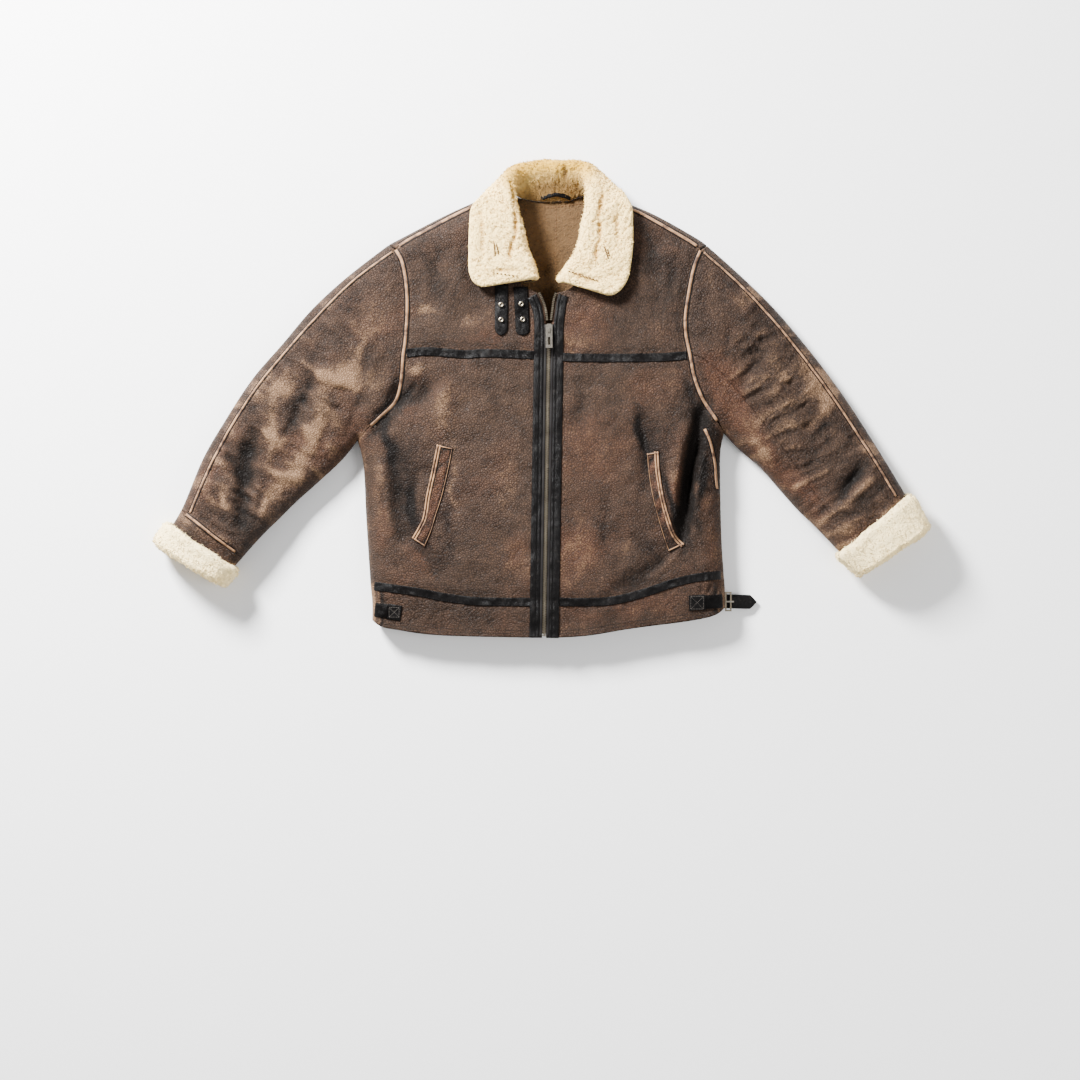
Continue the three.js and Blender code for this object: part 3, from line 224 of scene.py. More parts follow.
# Where the hide is rubbed pale, worn to a warm red-brown or stained dark, and where shade is painted dark
# into fold troughs and beside the pockets (the rows marked so): soft ovals in plan, as
# x y long wide turn pale warm stain_and_shade
PATINA = (
    # right sleeve
    (-430, -40, 190, 60, 62, 0.1, 0, 0),
    (-445, 27, 30, 17, 55, 0.8, 0, 0),
    (-461, -46, 34, 13, 80, 0.75, 0, 0),
    (-428, -120, 42, 17, 48, 0.9, 0.07, 0),
    (-339, 43, 32, 17, 20, 0.75, 0, 0),
    (-306, 27, 30, 16, 10, 0.55, 0, 0),
    (-388, -46, 42, 20, 40, 0.55, 0.14, 0),
    (-469, -168, 26, 12, 50, 0.8, 0.07, 0),
    (-548, -168, 16, 8, 70, 0.8, 0, 0),
    (-318, 84, 22, 8, 60, 0.5, 0, 0),
    (-300, 130, 40, 18, 80, 0.25, 0, 0),
    (-375, 72, 62, 15, 56, 0, 0, 0.55),
    (-428, 8, 32, 12, 50, 0, 0, 0.52),
    (-494, -14, 30, 15, 50, 0, 0, 0.33),
    (-512, -84, 42, 22, 65, 0, 0, 0.28),
    (-363, -10, 22, 7, -45, 0, 0, 0.5),
    (-379, -79, 18, 6, -50, 0, 0, 0.44),
    (-306, 200, 60, 30, 60, 0, 0, 0.22),
    (-345, 140, 60, 24, 55, 0, 0, 0.25),
    (-500, -215, 32, 12, 70, 0, 0, 0.44),
    (-590, -150, 60, 14, 60, 0.2, 0.28, 0),
    # painted shade: the fold where the right sleeve meets the body under the armhole
    (-275, -14, 26, 7, 30, 0, 0, 0.72),
    (-330, -60, 50, 26, 35, 0.25, 0.35, 0),
    # right front
    (-207, 149, 20, 10, 0, 0.8, 0, 0),
    (-216, 58, 22, 9, 0, 0.8, 0, 0),
    (-143, 234, 14, 40, 0, 0, 0, 0.34),
    (-200, 250, 40, 26, 0, 0, 0, 0.41),
    (-165, 180, 40, 30, 0, 0, 0, 0.19),
    (-128, 139, 26, 16, 0, 0.45, 0.06, 0),
    (-58, 135, 14, 40, 0, 0, 0, 0.52),
    (-96, 100, 40, 14, 0, 0, 0.3, 0.08),
    # painted shade: the narrow trough down the right side under the armhole
    (-267, -70, 9, 42, 12, 0, 0, 1.5),
    (-238, -91, 38, 22, -20, 0, 0, 0.56),
    # painted shadow beside the right pocket's bend, towards the side seam
    (-222, -192, 10, 34, 8, 0, 0, 1.5),
    (-170, -196, 7, 34, -12, 0, 0, 0.68),
    (-158, -150, 6, 62, -4, 0.5, 0, 0),
    (-280, -190, 16, 100, 0, 0.15, 0.36, 0),
    (-240, -285, 26, 30, 0, 0.1, 0.12, 0.15),
    (-168, -268, 22, 32, 0, 0, 0, 0.3),
    (-116, -146, 30, 24, 0, 0, 0, 0.3),
    (-108, -203, 30, 18, 0, 0, 0, 0.26),
    (-90, -100, 34, 16, 0, 0, 0, 0.22),
    (-77, -150, 30, 44, 0, 0.35, 0.18, 0),
    (-51, -268, 26, 44, 0, 0.35, 0.3, 0),
    (-120, -20, 70, 40, 0, 0.15, 0.06, 0.08),
    (-150, -370, 120, 20, -4, 0, 0, 0.3),
    # left front
    # painted shadow along the top of the left pocket
    (161, -62, 6, 42, 12, 0, 0, 1.5),
    (212, -70, 34, 44, 0, 0, 0, 0.56),
    (245, -10, 26, 50, 0, 0, 0, 0.52),
    # painted shade in the deep fold down the left side
    (263, -125, 11, 86, -8, 0, 0, 2.2),
    # painted shadow where the left pocket gapes beyond its piping, this row and the next
    (222, -215, 9, 34, 20, 0, 0, 1.6),
    (206, -150, 6, 50, 14, 0, 0, 1.3),
    (228, -140, 12, 50, -6, 0, 0.48, 0.08),
    (285, -70, 14, 36, 0, 0, 0, 0.38),
    (283, -220, 20, 70, 0, 0.15, 0.24, 0),
    (101, -222, 36, 24, 0, 0, 0, 0.3),
    (161, -196, 14, 50, 0, 0, 0, 0.34),
    (182, -262, 30, 12, -30, 0, 0, 0.52),
    (118, -265, 50, 22, 0, 0.1, 0.06, 0.3),
    (54, -255, 34, 40, 0, 0.25, 0.3, 0),
    (138, -256, 8, 20, 0, 0.4, 0, 0),
    (60, -90, 44, 60, 0, 0.1, 0.18, 0.08),
    (180, 255, 16, 46, 0, 0, 0, 0.45),
    (110, 230, 14, 50, 0, 0, 0, 0.26),
    (172, 200, 26, 16, 0, 0.35, 0, 0),
    (215, 200, 18, 70, 0, 0, 0, 0.38),
    (69, 139, 36, 30, 0, 0.1, 0.33, 0),
    (56, 92, 30, 14, 0, 0.35, 0.12, 0),
    (120, 120, 40, 26, 0, 0, 0, 0.22),
    (180, -345, 110, 24, 14, 0.1, 0.3, 0),
    # left sleeve
    (430, 10, 170, 70, -55, 0.24, 0, 0),
    (450, 42, 46, 14, -50, 0.85, 0, 0),
    (472, 12, 30, 16, -40, 0.5, 0, 0),
    (545, -85, 26, 14, -60, 0.55, 0, 0),
    (398, 48, 34, 16, -40, 0.4, 0, 0),
    (279, 200, 7, 34, 0, 0.4, 0, 0),
    (398, 105, 52, 26, -50, 0, 0, 0.25),
    (322, 94, 22, 5, 35, 0, 0, 0.55),
    (418, 22, 30, 7, 35, 0, 0, 0.5),
    (482, -34, 34, 8, 25, 0, 0, 0.5),
    (518, -140, 36, 9, 55, 0, 0, 0.61),
    (565, -112, 34, 18, -60, 0, 0, 0.28),
    (545, -176, 26, 14, 60, 0, 0, 0.44),
    (478, -184, 26, 6, 35, 0, 0, 0.44),
    (386, -25, 80, 32, -52, 0, 0, 0.17),
    (327, 153, 60, 34, -45, 0, 0, 0.19),
    (470, -110, 60, 26, -50, 0, 0, 0.17),
    (308, 20, 60, 22, -58, 0.1, 0.7, 0),
    (352, -60, 70, 20, -54, 0.15, 0.77, 0),
    (425, -150, 50, 16, -52, 0.1, 0.56, 0),
)

# Collar: a row for each station from one front end round the back of the neck to the other, as x y z
# of the neck seam, of the fold (roll) and of the fall's loose edge, and the radius of the roll
COLLAR = (
    (-36, 198, 38, -11, 203, 52, -118, 187, 64, 14),
    (-53, 229, 38, -19, 230, 52, -130, 214, 64, 14),
    (-62, 260, 38, -31, 258, 52, -131, 250, 64, 14),
    (-70, 289, 38, -37, 287, 53, -130, 288, 64, 14),
    (-73, 316, 36, -45, 317, 54, -127, 322, 62, 14),
    (-70, 338, 30, -51, 342, 56, -114, 343, 54, 14),
    (-59, 352, 20, -55, 374, 52, -97, 361, 36, 15),
    (-40, 345, 14, -47, 397, 38, -70, 378, 14, 16),
    (-14, 340, 13, -18, 407, 28, -30, 372, 2, 18),
    (12, 340, 13, 13, 408, 25, 11, 367, 0.5, 19),
    (36, 341, 13, 44, 407, 28, 56, 373, 2, 18),
    (60, 349, 15, 66, 400, 36, 92, 383, 14, 16),
    (74, 352, 21, 69, 378, 50, 115, 370, 34, 15),
    (85, 338, 30, 68, 352, 56, 134, 350, 52, 14),
    (90, 322, 36, 65, 324, 54, 145, 327, 62, 14),
    (87, 300, 38, 60, 297, 53, 147, 297, 64, 14),
    (82, 274, 38, 55, 267, 52, 147, 264, 64, 14),
    (73, 248, 38, 46, 242, 52, 144, 232, 64, 14),
    (59, 221, 38, 31, 222, 52, 137, 200, 64, 14),
    (41, 195, 38, 15, 202, 52, 116, 171, 64, 14),
)
# Lines on the collar where the pile parts, as rows of the folds
PARTINGS = (
    (-62, 376, -54, 322, 3, 3.5, -4),
    (-55, 330, -54, 262, 4, 3.5, -4),
    (-54, 272, -60, 228, -3, 3.5, -4),
    (-110, 330, -112, 215, 3, 4, -2),
    (96, 356, 86, 300, 2, 3.5, -3.6),
    (87, 308, 90, 262, 3, 3.5, -3.6),
    (89, 268, 84, 226, -2, 3.5, -3.6),
    (122, 330, 124, 240, -3, 4, -2),
    (-98, 212, -40, 216, 3, 3.5, -2.4),
    (36, 218, 92, 198, -4, 3.5, -2.4),
    (31, 408, 33, 372, 1, 4, -3),
)

# Middles of the trims that lie on the panels
STRIPS = {
    "right_shoulder_strip": ((-249, 262), (-230, 274), (-161, 311), (-131, 326)),
    "left_shoulder_strip": ((256, 261), (236, 274), (170, 312), (148, 323)),
    "right_armhole_strip": (
        (-255, 254), (-245, 236), (-238, 204), (-235, 160), (-238, 102), (-242, 74), (-246, 30),
        (-256, -3), (-280, -28), (-297, -44),
    ),
    "left_armhole_strip": (
        (262, 253), (250, 222), (241, 176), (236, 140), (237, 110), (244, 75), (250, 42), (262, 8),
        (279, -20), (290, -36),
    ),
    "right_sleeve_strip": (
        (-261, 251), (-326, 203), (-386, 144), (-437, 87), (-487, 26), (-532, -42), (-567, -108),
        (-602, -192),
    ),
    "left_sleeve_strip": (
        (268, 250), (322, 202), (375, 147), (425, 87), (471, 26), (514, -36), (555, -101), (592, -164),
    ),
    "right_cuff_strip": ((-609, -194.5), (-590, -208), (-560, -232), (-526, -258)),
    "left_side_strip": ((269, -50), (279, -73), (287, -108), (289, -135), (291, -151)),
}
# Width of each kind of strip in millimetres, and the share of it that its crown takes
STRIP_SIZES = {
    "shoulder": (10.0, 0.5), "armhole": (10.0, 0.5), "sleeve": (7.8, 0.46), "cuff": (8.5, 0.46),
    "side": (9.0, 0.5),
}
TAPES = {
    "right_chest_tape": ((-236, 78), (-197, 81), (-138, 76), (-102, 78), (-20, 75)),
    "left_chest_tape": ((29, 71.5), (90, 70), (190, 71), (238, 74.5)),
    "right_waist_tape": ((-292, -316), (-219, -326), (-173, -335), (-114, -342), (-26, -343)),
    "left_waist_tape": ((23, -343), (102, -342), (158, -330), (216, -311), (260, -301), (297, -297.5)),
}
# Pockets: the piped edge towards the side seam and the edge towards the zip, from the top
POCKETS = {
    "right": {
        "side": ((-185, -76), (-194, -120), (-203.5, -164), (-208, -194), (-213, -209), (-228, -235)),
        "front": ((-158, -82), (-165.5, -120), (-176, -164), (-186, -195), (-194, -222), (-206, -250)),
    },
    "left": {
        "side": ((191, -88), (193, -120), (199, -160), (208, -196), (220, -228), (235, -245)),
        "front": ((171, -91), (174.5, -130), (180, -164), (188, -196), (198, -230), (208, -258)),
    },
}
COLLAR_STRAPS = {
    "collar_strap_a": {
        "line": ((-75, 194), (-75.5, 150), (-76, 108)), "width": 22, "tip": 13, "finish": "worn_black",
    },
    "collar_strap_b": {
        "line": ((-43, 190), (-41, 150), (-39, 108)), "width": 24, "tip": 9, "finish": "black",
    },
}
SIDE_PATCHES = {
    "right_side_patch": {
        "strap": ((-291, -356), (-268, -358.5)), "patch": ((-269, -358.8), (-246, -362.5)),
    },
    "left_side_patch": {
        "strap": ((270, -343.5), (300, -341.5)), "patch": ((242, -345), (270, -343.5)),
    },
}
# Stitching in the wool: two ends and the way from stitch to stitch, and the lining's seams
COLLAR_STITCHES = (
    ((-88, 263), (-86, 241), 3.0),
    ((-84, 261), (-80, 243), 3.4),
    ((98, 256), (105, 236), 3.4),
    ((103, 252), (107, 240), 3.4),
    ((-92, 213), (-46, 206), 6.0),
    ((36, 216), (88, 199), 6.0),
)
LINING_SEAMS = (((16.6, 206), (16.6, 331)), ((-49, 334), (12, 330)), ((12, 330), (67, 337)))
HANGER_LOOP = ((-8, 345), (17, 351), (42, 345.5))
ZIP_LINE = ((-3.3, -402), (-2.4, -343), (4.2, 75), (4.9, 110))
FROM_EDGE = {"placket": 11.5, "tape": 0.6, "teeth": -2}  # from a front's edge to a trim's middle
TEETH_FROM = 129  # the height in plan above which the two rows of teeth lie apart
TOOTH = {"pitch": 2.9, "wide": 4.4, "long": 1.7, "high": 3.0}
PICTURE_MIDDLE = (-10.2, -238)  # the place in plan under the camera


def unit(vectors):
    return vectors / np.maximum(np.linalg.norm(vectors, axis=-1, keepdims=True), 1e-9)


# Curves in plan

def smooth(points, per_span=6):
    """A uniform Catmull-Rom curve through the points: a cubic for each span, its end slopes half the
    step between the neighbours on either side, and the end points doubled."""
    knots = np.asarray(points, float)
    padded = np.vstack([knots[:1], knots, knots[-1:]])
    t = (np.arange(per_span) / per_span)[None, :, None]
    a, b, c, d = (padded[i : len(padded) - 3 + i, None, :] for i in range(4))
    slope_b, slope_c = (c - a) / 2, (d - b) / 2
    spans = (2 * b - 2 * c + slope_b + slope_c) * t**3
    spans += (3 * c - 3 * b - 2 * slope_b - slope_c) * t**2 + slope_b * t + b
    return np.vstack([spans.reshape(-1, knots.shape[1]), knots[-1:]])


def length_of(line):
    return np.linalg.norm(np.diff(line, axis=0), axis=1).sum()


def travelled(points, axis=0):
    """How far along a line each of its points lies, or along each line of a grid."""
    steps = np.linalg.norm(np.diff(points, axis=axis), axis=-1)
    start = np.zeros_like(np.take(steps, [0], axis))
    return np.concatenate([start, np.cumsum(steps, axis)], axis)


def along(line, t):
    """The points at shares t of a line's length, straight between its own points."""
    at = travelled(line)
    return np.stack([np.interp(np.asarray(t) * at[-1], at, axis) for axis in line.T], -1)


def heading(line, t):
    """The unit direction of a line at shares t, from a short step either way."""
    step = 0.004
    return unit(along(line, np.minimum(t + step, 1)) - along(line, np.maximum(t - step, 0)))


def leftward(way):
    """The directions a quarter turn to the left of others in plan."""
    return np.stack([-way[:, 1], way[:, 0]], -1)


def shifted(line, off):
    """A line moved sideways, to its left for an offset above 0."""
    ahead, behind = np.vstack([line[1:], line[-1:]]), np.vstack([line[:1], line[:-1]])
    return line + leftward(unit(ahead - behind)) * off


def joined(*lines):
    return np.vstack([lines[0], *(line[1:] for line in lines[1:])])


def run(line):
    line = np.asarray(line, float)
    return lambda t: along(line, t)


def bent(first, second, knee):
    """Two curves that meet at the share called knee, run as one."""

    def at(t):
        t = np.asarray(t)
        early = along(first, np.clip(t / knee, 0, 1))
        late = along(second, np.clip((t - knee) / (1 - knee), 0, 1))
        return np.where((t < knee)[..., None], early, late)

    return at


def shares(n):
    return np.linspace(0, 1, n + 1)


def evened(n):
    """Shares that crowd towards both ends, as a cosine runs."""
    return (1 - np.cos(np.pi * shares(n))) / 2


def patch(low, high, start, end, us, vs):
    """A Coons patch on a grid: the two pairs of opposite curves blended straight across, less the
    blend of the four corners that both pairs count."""
    u, v = us[None, :, None], vs[:, None, None]
    ends = np.array([0.0, 1.0])
    low_ends, high_ends = low(ends), high(ends)
    grid = low(us)[None] * (1 - v) + high(us)[None] * v
    grid = grid + start(vs)[:, None] * (1 - u) + end(vs)[:, None] * u
    grid = grid - low_ends[0] * (1 - u) * (1 - v) - low_ends[1] * u * (1 - v)
    return grid - high_ends[0] * (1 - u) * v - high_ends[1] * u * v


def inset(values, low, high):
    """Shares pressed inwards by a share at each end."""
    return low + values * (1 - low - high)


LINES = {}
for side_name, named in SEAMS.items():
    LINES[side_name] = {name: smooth(points) for name, points in named.items()}
    sections = np.asarray(SLEEVES[side_name], float)
    for column, part in enumerate(("edge", "seam", "under")):
        LINES[side_name][part] = smooth(sections[:, 2 * column : 2 * column + 2], 8)


def section(side, part, s):
    """A sleeve's edge, seam or underarm line at section numbers s."""
    line = LINES[side][part]
    at = np.clip(np.asarray(s, float) * 8, 0, len(line) - 1)
    return np.stack([np.interp(at, np.arange(len(line)), axis) for axis in line.T], -1)


# Heights of the skins

def outline_lines():
    for side, inside in (("right", 1), ("left", -1)):
        found = LINES[side]
        yield joined(found["shoulderEdge"][::-1], found["edge"]), inside
        yield joined(found["under"][::-1], found["side"], found["hemSide"]), inside


OUTLINE = list(outline_lines())
SEAM_LINES = [
    line
    for found in LINES.values()
    for line in (
        found["chest"], found["waist"], found["shoulderSeam"], found["seam"],
        joined(found["armholeUpper"][::-1], found["armholeLower"]),
    )
]


def nearest(line, p):
    """The distance from each point to a line and the line's direction there: the foot of the
    perpendicular on every span, held between the span's ends, and the closest of them."""
    best = np.full(len(p), np.inf)
    which = np.zeros(len(p), int)
    for k, (a, d) in enumerate(zip(line[:-1], np.diff(line, axis=0))):
        w = p - a
        t = np.clip((w @ d) / (d @ d), 0, 1)
        away = np.hypot(w[:, 0] - t * d[0], w[:, 1] - t * d[1])
        closer = away < best
        best[closer] = away[closer]
        which[closer] = k
    way = line[np.minimum(which + 2, len(line) - 1)] - line[np.maximum(which - 1, 0)]
    return best, way


def edge_distance(p):
    return np.min([nearest(line, p)[0] for line, _ in OUTLINE], axis=0)


def seam_distance(p):
    return np.min([nearest(line, p)[0] for line in SEAM_LINES], axis=0)


def out_of_edge(p):
    """The level direction out of the garment at points of its outline."""
    best = np.full(len(p), np.inf)
    out = np.zeros((len(p), 3))
    for line, inside in OUTLINE:
        away, way = nearest(line, p)
        closer = away < best
        best[closer] = away[closer]
        out[closer, 0] = way[closer, 1] * inside
        out[closer, 1] = -way[closer, 0] * inside
    return unit(out)


def rounding(t):
    """A quarter circle: 0 at 0, upright there, and 1 and level from 1 on."""
    t = np.clip(t, 0, 1)
    return np.sqrt(t * (2 - t))


def ramp(x, low, high):
    t = np.clip((x - low) / (high - low), 0, 1)
    return t * t * (3 - 2 * t)


def bell(x, width):
    """1 where x is 0, falling to a third of it at the width on either side."""
    return np.exp(-((x / width) ** 2))


def fold_height(p, folds):
    """The sum of the folds: each a bell across its bowed line, times a sine along it."""
    z = np.zeros(len(p))
    for x, y, to_x, to_y, bow, width, depth in folds:
        dx, dy = to_x - x, to_y - y
        length = math.hypot(dx, dy)
        t = ((p[:, 0] - x) * dx + (p[:, 1] - y) * dy) / length**2
        off = ((p[:, 1] - y) * dx - (p[:, 0] - x) * dy) / length - bow * 4 * t * (1 - t)
        inside = np.clip(t, 0, 1)
        z += depth * bell(off, width) * np.sin(np.pi * inside) ** 0.8
    return z


def sleeve_end(side):
    """The middle of a sleeve's mouth in plan and the direction out of it."""
    middle = (section(side, "edge", [7, MOUTH]) + section(side, "under", [7, MOUTH])) / 2
    return middle[1], unit(middle[1] - middle[0])


def cuff_lift(p):
    """How far the sleeve's end is held up by the pile turned back round it."""
    z = np.zeros(len(p))
    for side, sign in (("right", -1), ("left", 1)):
        end, out = sleeve_end(side)
        before = -((p - end) @ out)
        z += np.where(p[:, 0] * sign > 330, CUFF_LIFT * (1 - ramp(before, 72, 220)), 0)
    return z


def lattice_number(column, row, seed):
    """A whole number for each corner of a square lattice, well mixed and always the same."""
    n = column * 374761393 + row * 668265263 + seed * 974634777
    return (n ^ (n >> 13)) * 1274126177 & 0x7FFFFFFF


def noise(p, cell, seed, stretch=(1.0, 1.0)):
    """Smooth value noise from -1 to 1: a mixed number at each corner of a square lattice of the cell's
    size, blended across the square by an s-curve."""
    q = p / (cell * np.asarray(stretch)) + seed * 7.31
    whole = np.floor(q).astype(np.int64)
    f = q - whole
    f = f * f * (3 - 2 * f)

    def corner(dx, dy):
        n = lattice_number(whole[:, 0] + dx, whole[:, 1] + dy, seed)
        return ((n ^ (n >> 16)) & 0xFFFF) / 32767.5 - 1

    low = corner(0, 0) * (1 - f[:, 0]) + corner(1, 0) * f[:, 0]
    high = corner(0, 1) * (1 - f[:, 0]) + corner(1, 1) * f[:, 0]
    return low * (1 - f[:, 1]) + high * f[:, 1]


def cells(p, cell, seed):
    """The distances, in cells, from each point to the nearest and the second nearest of a lattice's
    points, one shaken about in every square."""
    q = p / cell
    whole = np.floor(q).astype(np.int64)
    first = np.full(len(p), np.inf)
    second = first.copy()
    for dx in (-1, 0, 1):
        for dy in (-1, 0, 1):
            at = whole + (dx, dy)
            n = lattice_number(at[:, 0], at[:, 1], seed)
            shaken = at + np.stack([(n & 0xFF) / 255.0, ((n >> 9) & 0xFF) / 255.0], -1)
            away = np.hypot(q[:, 0] - shaken[:, 0], q[:, 1] - shaken[:, 1])
            second = np.minimum(second, np.maximum(first, away))
            first = np.minimum(first, away)
    return first, second


def curls(p, cell, seed):
    """Curly pile: a dome over every shaken lattice point, 1 at its middle, falling with the square of
    the distance to the creases between neighbours."""
    return 1 - np.clip(cells(p, cell, seed)[0] ** 2, 0, 1.4)


def crackle(p):
    """Dry creases of the hide: 1 along the borders of wandering cells about 13 mm wide, 0 inside."""
    wander = np.stack([noise(p, 17, 71), noise(p, 17, 72)], -1) * 6
    first, second = cells(p + wander, 13, 73)
    return bell(second - first, 0.17)


def gathers(p):
    """Soft ridges, 1, and troughs, -1, across the sleeves, where the hide has drawn up along the arm."""
    right = p[:, 0] < 0
    arm_x, arm_y = np.where(right, -0.49, 0.52), np.where(right, -0.87, -0.85)
    down = p[:, 0] * arm_x + p[:, 1] * arm_y + 7 * noise(p, 45, 81)
    across = p[:, 1] * arm_x - p[:, 0] * arm_y
    q = np.column_stack([down, across])
    ridges = 0.8 * noise(q, 17, 82, (1, 3.4)) + 0.6 * noise(q, 8, 83, (1, 3.2))
    return ridges * ramp(np.abs(p[:, 0]), 292, 350)


def dryness(p):
    """How far the hide has crackled: most on the left sleeve, less on the right one and the yokes."""
    amount = ramp(p[:, 0], 240, 300) + 0.4 * ramp(-p[:, 0], 240, 300) + 0.3 * ramp(p[:, 1], 60, 110)
    return np.clip((0.1 + amount) * (0.6 + 0.7 * noise(p, 50, 75)), 0, 1)


def main_top(p, d, seam):
    """The front's skin without its finer relief, as the solids have it."""
    soft = fold_height(p, FOLDS) - SEAM_DIP * bell(seam, SEAM_DIP_WIDTH)
    crown = CROWN * (1 - np.exp(-d / CROWN_REACH))
    hem = HEM_SINK * ramp(-p[:, 1], 300, 400) * ramp(d, 0, 40)
    rise = TOP_RISE * rounding(d / TOP_REACH) + crown + soft * ramp(d, 6, 42) - hem
    return SIDE_Z + HALF + rise + cuff_lift(p)


def main_under(p, d):
    """The back's skin, from the outline down to the floor."""
    return (SIDE_Z - HALF) * (1 - rounding(d / UNDER_REACH)) + cuff_lift(p)


def relief(p, d, seam, dry):
    """Finer relief of the hide: creases, slow billows, the pucker that a seam draws up beside it and
    the dry crackle."""
    billow = 1.6 * noise(p, 46, 3) + 1.2 * noise(p, 19, 5) + 0.5 * noise(p, 8, 9)
    pucker = 0.9 * noise(p, 9, 11, (1, 3)) * bell(seam, 15)
    fine = fold_height(p, CREASES) + billow + pucker + 3.0 * gathers(p) - 1.4 * dry * crackle(p)
    return np.maximum(fine, -7.5) * ramp(d, 2, 26)


def under_relief(p, d):
    return 0.4 * noise(p, 40, 31) * ramp(d, 10, 40)


def top_at(points):
    """Heights of the finished front at plan points of any shape (..., 2)."""
    p = np.asarray(points, float)
    flat = p.reshape(-1, 2)
    d, seam = edge_distance(flat), seam_distance(flat)
    return (main_top(flat, d, seam) + relief(flat, d, seam, dryness(flat))).reshape(p.shape[:-1])


# Meshes

def grid_normals(grid):
    """Unit normals of a grid: the cross product of the steps to either side along both its ways."""
    du = np.gradient(grid, axis=1)
    dv = np.gradient(grid, axis=0)
    return unit(np.cross(du, dv))


def new_piece(name, points, faces, materials, face_materials=None, values=None):
    """A mesh object from points in millimetres and faces by index. values: named numbers per point."""
    mesh = bpy.data.meshes.new(name)
    corners = faces if isinstance(faces, list) else faces.tolist()
    mesh.from_pydata((np.asarray(points) * MM).tolist(), [], corners)
    mesh.polygons.foreach_set("use_smooth", np.ones(len(mesh.polygons), bool))
    for material in materials:
        mesh.materials.append(material)
    if face_materials is not None:
        mesh.polygons.foreach_set("material_index", np.asarray(face_materials, np.int32))
    for key, numbers in (values or {}).items():
        layer = mesh.attributes.new(key, "FLOAT", "POINT")
        layer.data.foreach_set("value", np.asarray(numbers, np.float32))
    mesh.update()
    piece = bpy.data.objects.new(name, mesh)
    bpy.context.scene.collection.objects.link(piece)
    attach(piece, "jacket")
    return piece


def enclosed(points, quads):
    """Six times the volume inside quads, each cut into two triangles."""
    a, b, c, d = (points[quads[:, i]] for i in range(4))
    first = np.einsum("ij,ij->i", a, np.cross(b, c))
    return (first + np.einsum("ij,ij->i", a, np.cross(c, d))).sum()


def grid_quads(n, m, closed_rows=False, closed_columns=False):
    """Quads of an n by m grid of indices, meeting itself along either way if it is closed there."""
    i = np.arange(n if closed_columns else n - 1)[:, None]
    j = np.arange(m if closed_rows else m - 1)[None, :]
    next_i, next_j = (i + 1) % n, (j + 1) % m
    corners = (i * m + j, i * m + next_j, next_i * m + next_j, next_i * m + j)
    return np.stack([np.broadcast_to(c, (i.size, j.size)).ravel() for c in corners], -1)


def wall_faces(n, m, closed_rows=False):
    """Quads of a closed wall of four layers of points, outer face, hide's cut edge, and inner face, as
    (faces, which material each takes): 0 for the outer face and the hide's edge, 1 for the rest."""
    outer = grid_quads(n, m, closed_rows)
    size = n * m
    rims = [np.arange(m), np.arange((n - 1) * m, n * m)]
    if not closed_rows:
        rims += [np.arange(0, n * m, m), np.arange(m - 1, n * m, m)]
    sheets = [(outer, 0), (outer[:, ::-1] + 2 * size, 1)]
    for k, rim in enumerate(rims):
        if closed_rows:
            rim = np.append(rim, rim[0])
        turn = 1 if k in (0, 3) else -1
        for layer in (0, 1):
            a, b = rim[:-1] + layer * size, rim[1:] + layer * size
            quads = np.stack([a, a + size, b + size, b], -1)[:, ::turn]
            sheets.append((quads, layer))
    faces = np.vstack([quads for quads, _ in sheets])
    kinds = np.concatenate([np.full(len(quads), material) for quads, material in sheets])
    return faces, kinds


def add_wall(name, outer, inner, edge, materials, closed_rows=False, values=None):
    """A closed wall from grids (n, m, 3) of its outer face, inner face and the line that splits its
    cut edge. Points that no face uses are left out."""
    n, m = outer.shape[:2]
    points = np.vstack([g.reshape(-1, 3) for g in (outer, edge, inner)])
    faces, kinds = wall_faces(n, m, closed_rows)
    if enclosed(points, faces) < 0:
        faces = faces[:, ::-1]
    used, faces = np.unique(faces, return_inverse=True)
    faces = faces.reshape(-1, 4)
    tripled = {key: np.tile(number.ravel(), 3)[used] for key, number in (values or {}).items()}
    return new_piece(name, points[used], faces, materials, kinds, tripled)


def add_copies(name, shape, faces, origins, frames, materials, values=None):
    """One small shape repeated: its points turned by each frame (k, 3, 3) and moved to each origin."""
    points = np.einsum("pj,kji->kpi", shape, frames) + origins[:, None]
    starts = range(0, len(origins) * len(shape), len(shape))
    every = [tuple(corner + start for corner in face) for start in starts for face in faces]
    return new_piece(name, points.reshape(-1, 3), every, materials, values=values)


# Materials

def linear(hex_colour):
    """An sRGB hex colour as linear red, green, blue and a full alpha."""
    parts = [int(hex_colour[i : i + 2], 16) / 255 for i in (1, 3, 5)]
    return (*(c / 12.92 if c <= 0.04045 else ((c + 0.055) / 1.055) ** 2.4 for c in parts), 1.0)


def new_material(name):
    """A material without nodes."""
    m = bpy.data.materials.new(name)
    m.use_nodes = True
    m.node_tree.nodes.clear()
    return m


def add_node(m, kind, inputs, out=0, **settings):
    """Adds one node and returns its output, if it has one. An input is a value, or the output that
    feeds it."""
    tree = m.node_tree
    node = tree.nodes.new(f"ShaderNode{kind}")
    for name, value in settings.items():
        setattr(node, name, value)
    for name, value in inputs.items():
        if isinstance(value, bpy.types.NodeSocket):
            tree.links.new(value, node.inputs[name])
        else:
            node.inputs[name].default_value = value
    return node.outputs[out] if node.outputs else None


def place_in(m):
    """The place on the object, in metres."""
    return add_node(m, "TexCoord", {}, out="Object")


def attribute(m, name):
    """A number that the mesh carries at its points."""
    return add_node(m, "Attribute", {}, out="Fac", attribute_name=name)


def cloud(m, place, scale, detail, roughness=0.5, out=0):
    """Noise, scale waves to the metre."""
    inputs = {"Vector": place, "Scale": scale, "Detail": detail, "Roughness": roughness}
    return add_node(m, "TexNoise", inputs, out=out)


def borders(m, place, scale):
    """The way to the borders of shaken cells, scale of them to the metre."""
    return add_node(m, "TexVoronoi", {"Vector": place, "Scale": scale}, feature="DISTANCE_TO_EDGE")


def gained(m, value, factor, added):
    """The value times a factor, plus another."""
    return add_node(m, "Math", {0: value, 1: factor, 2: added}, operation="MULTIPLY_ADD")


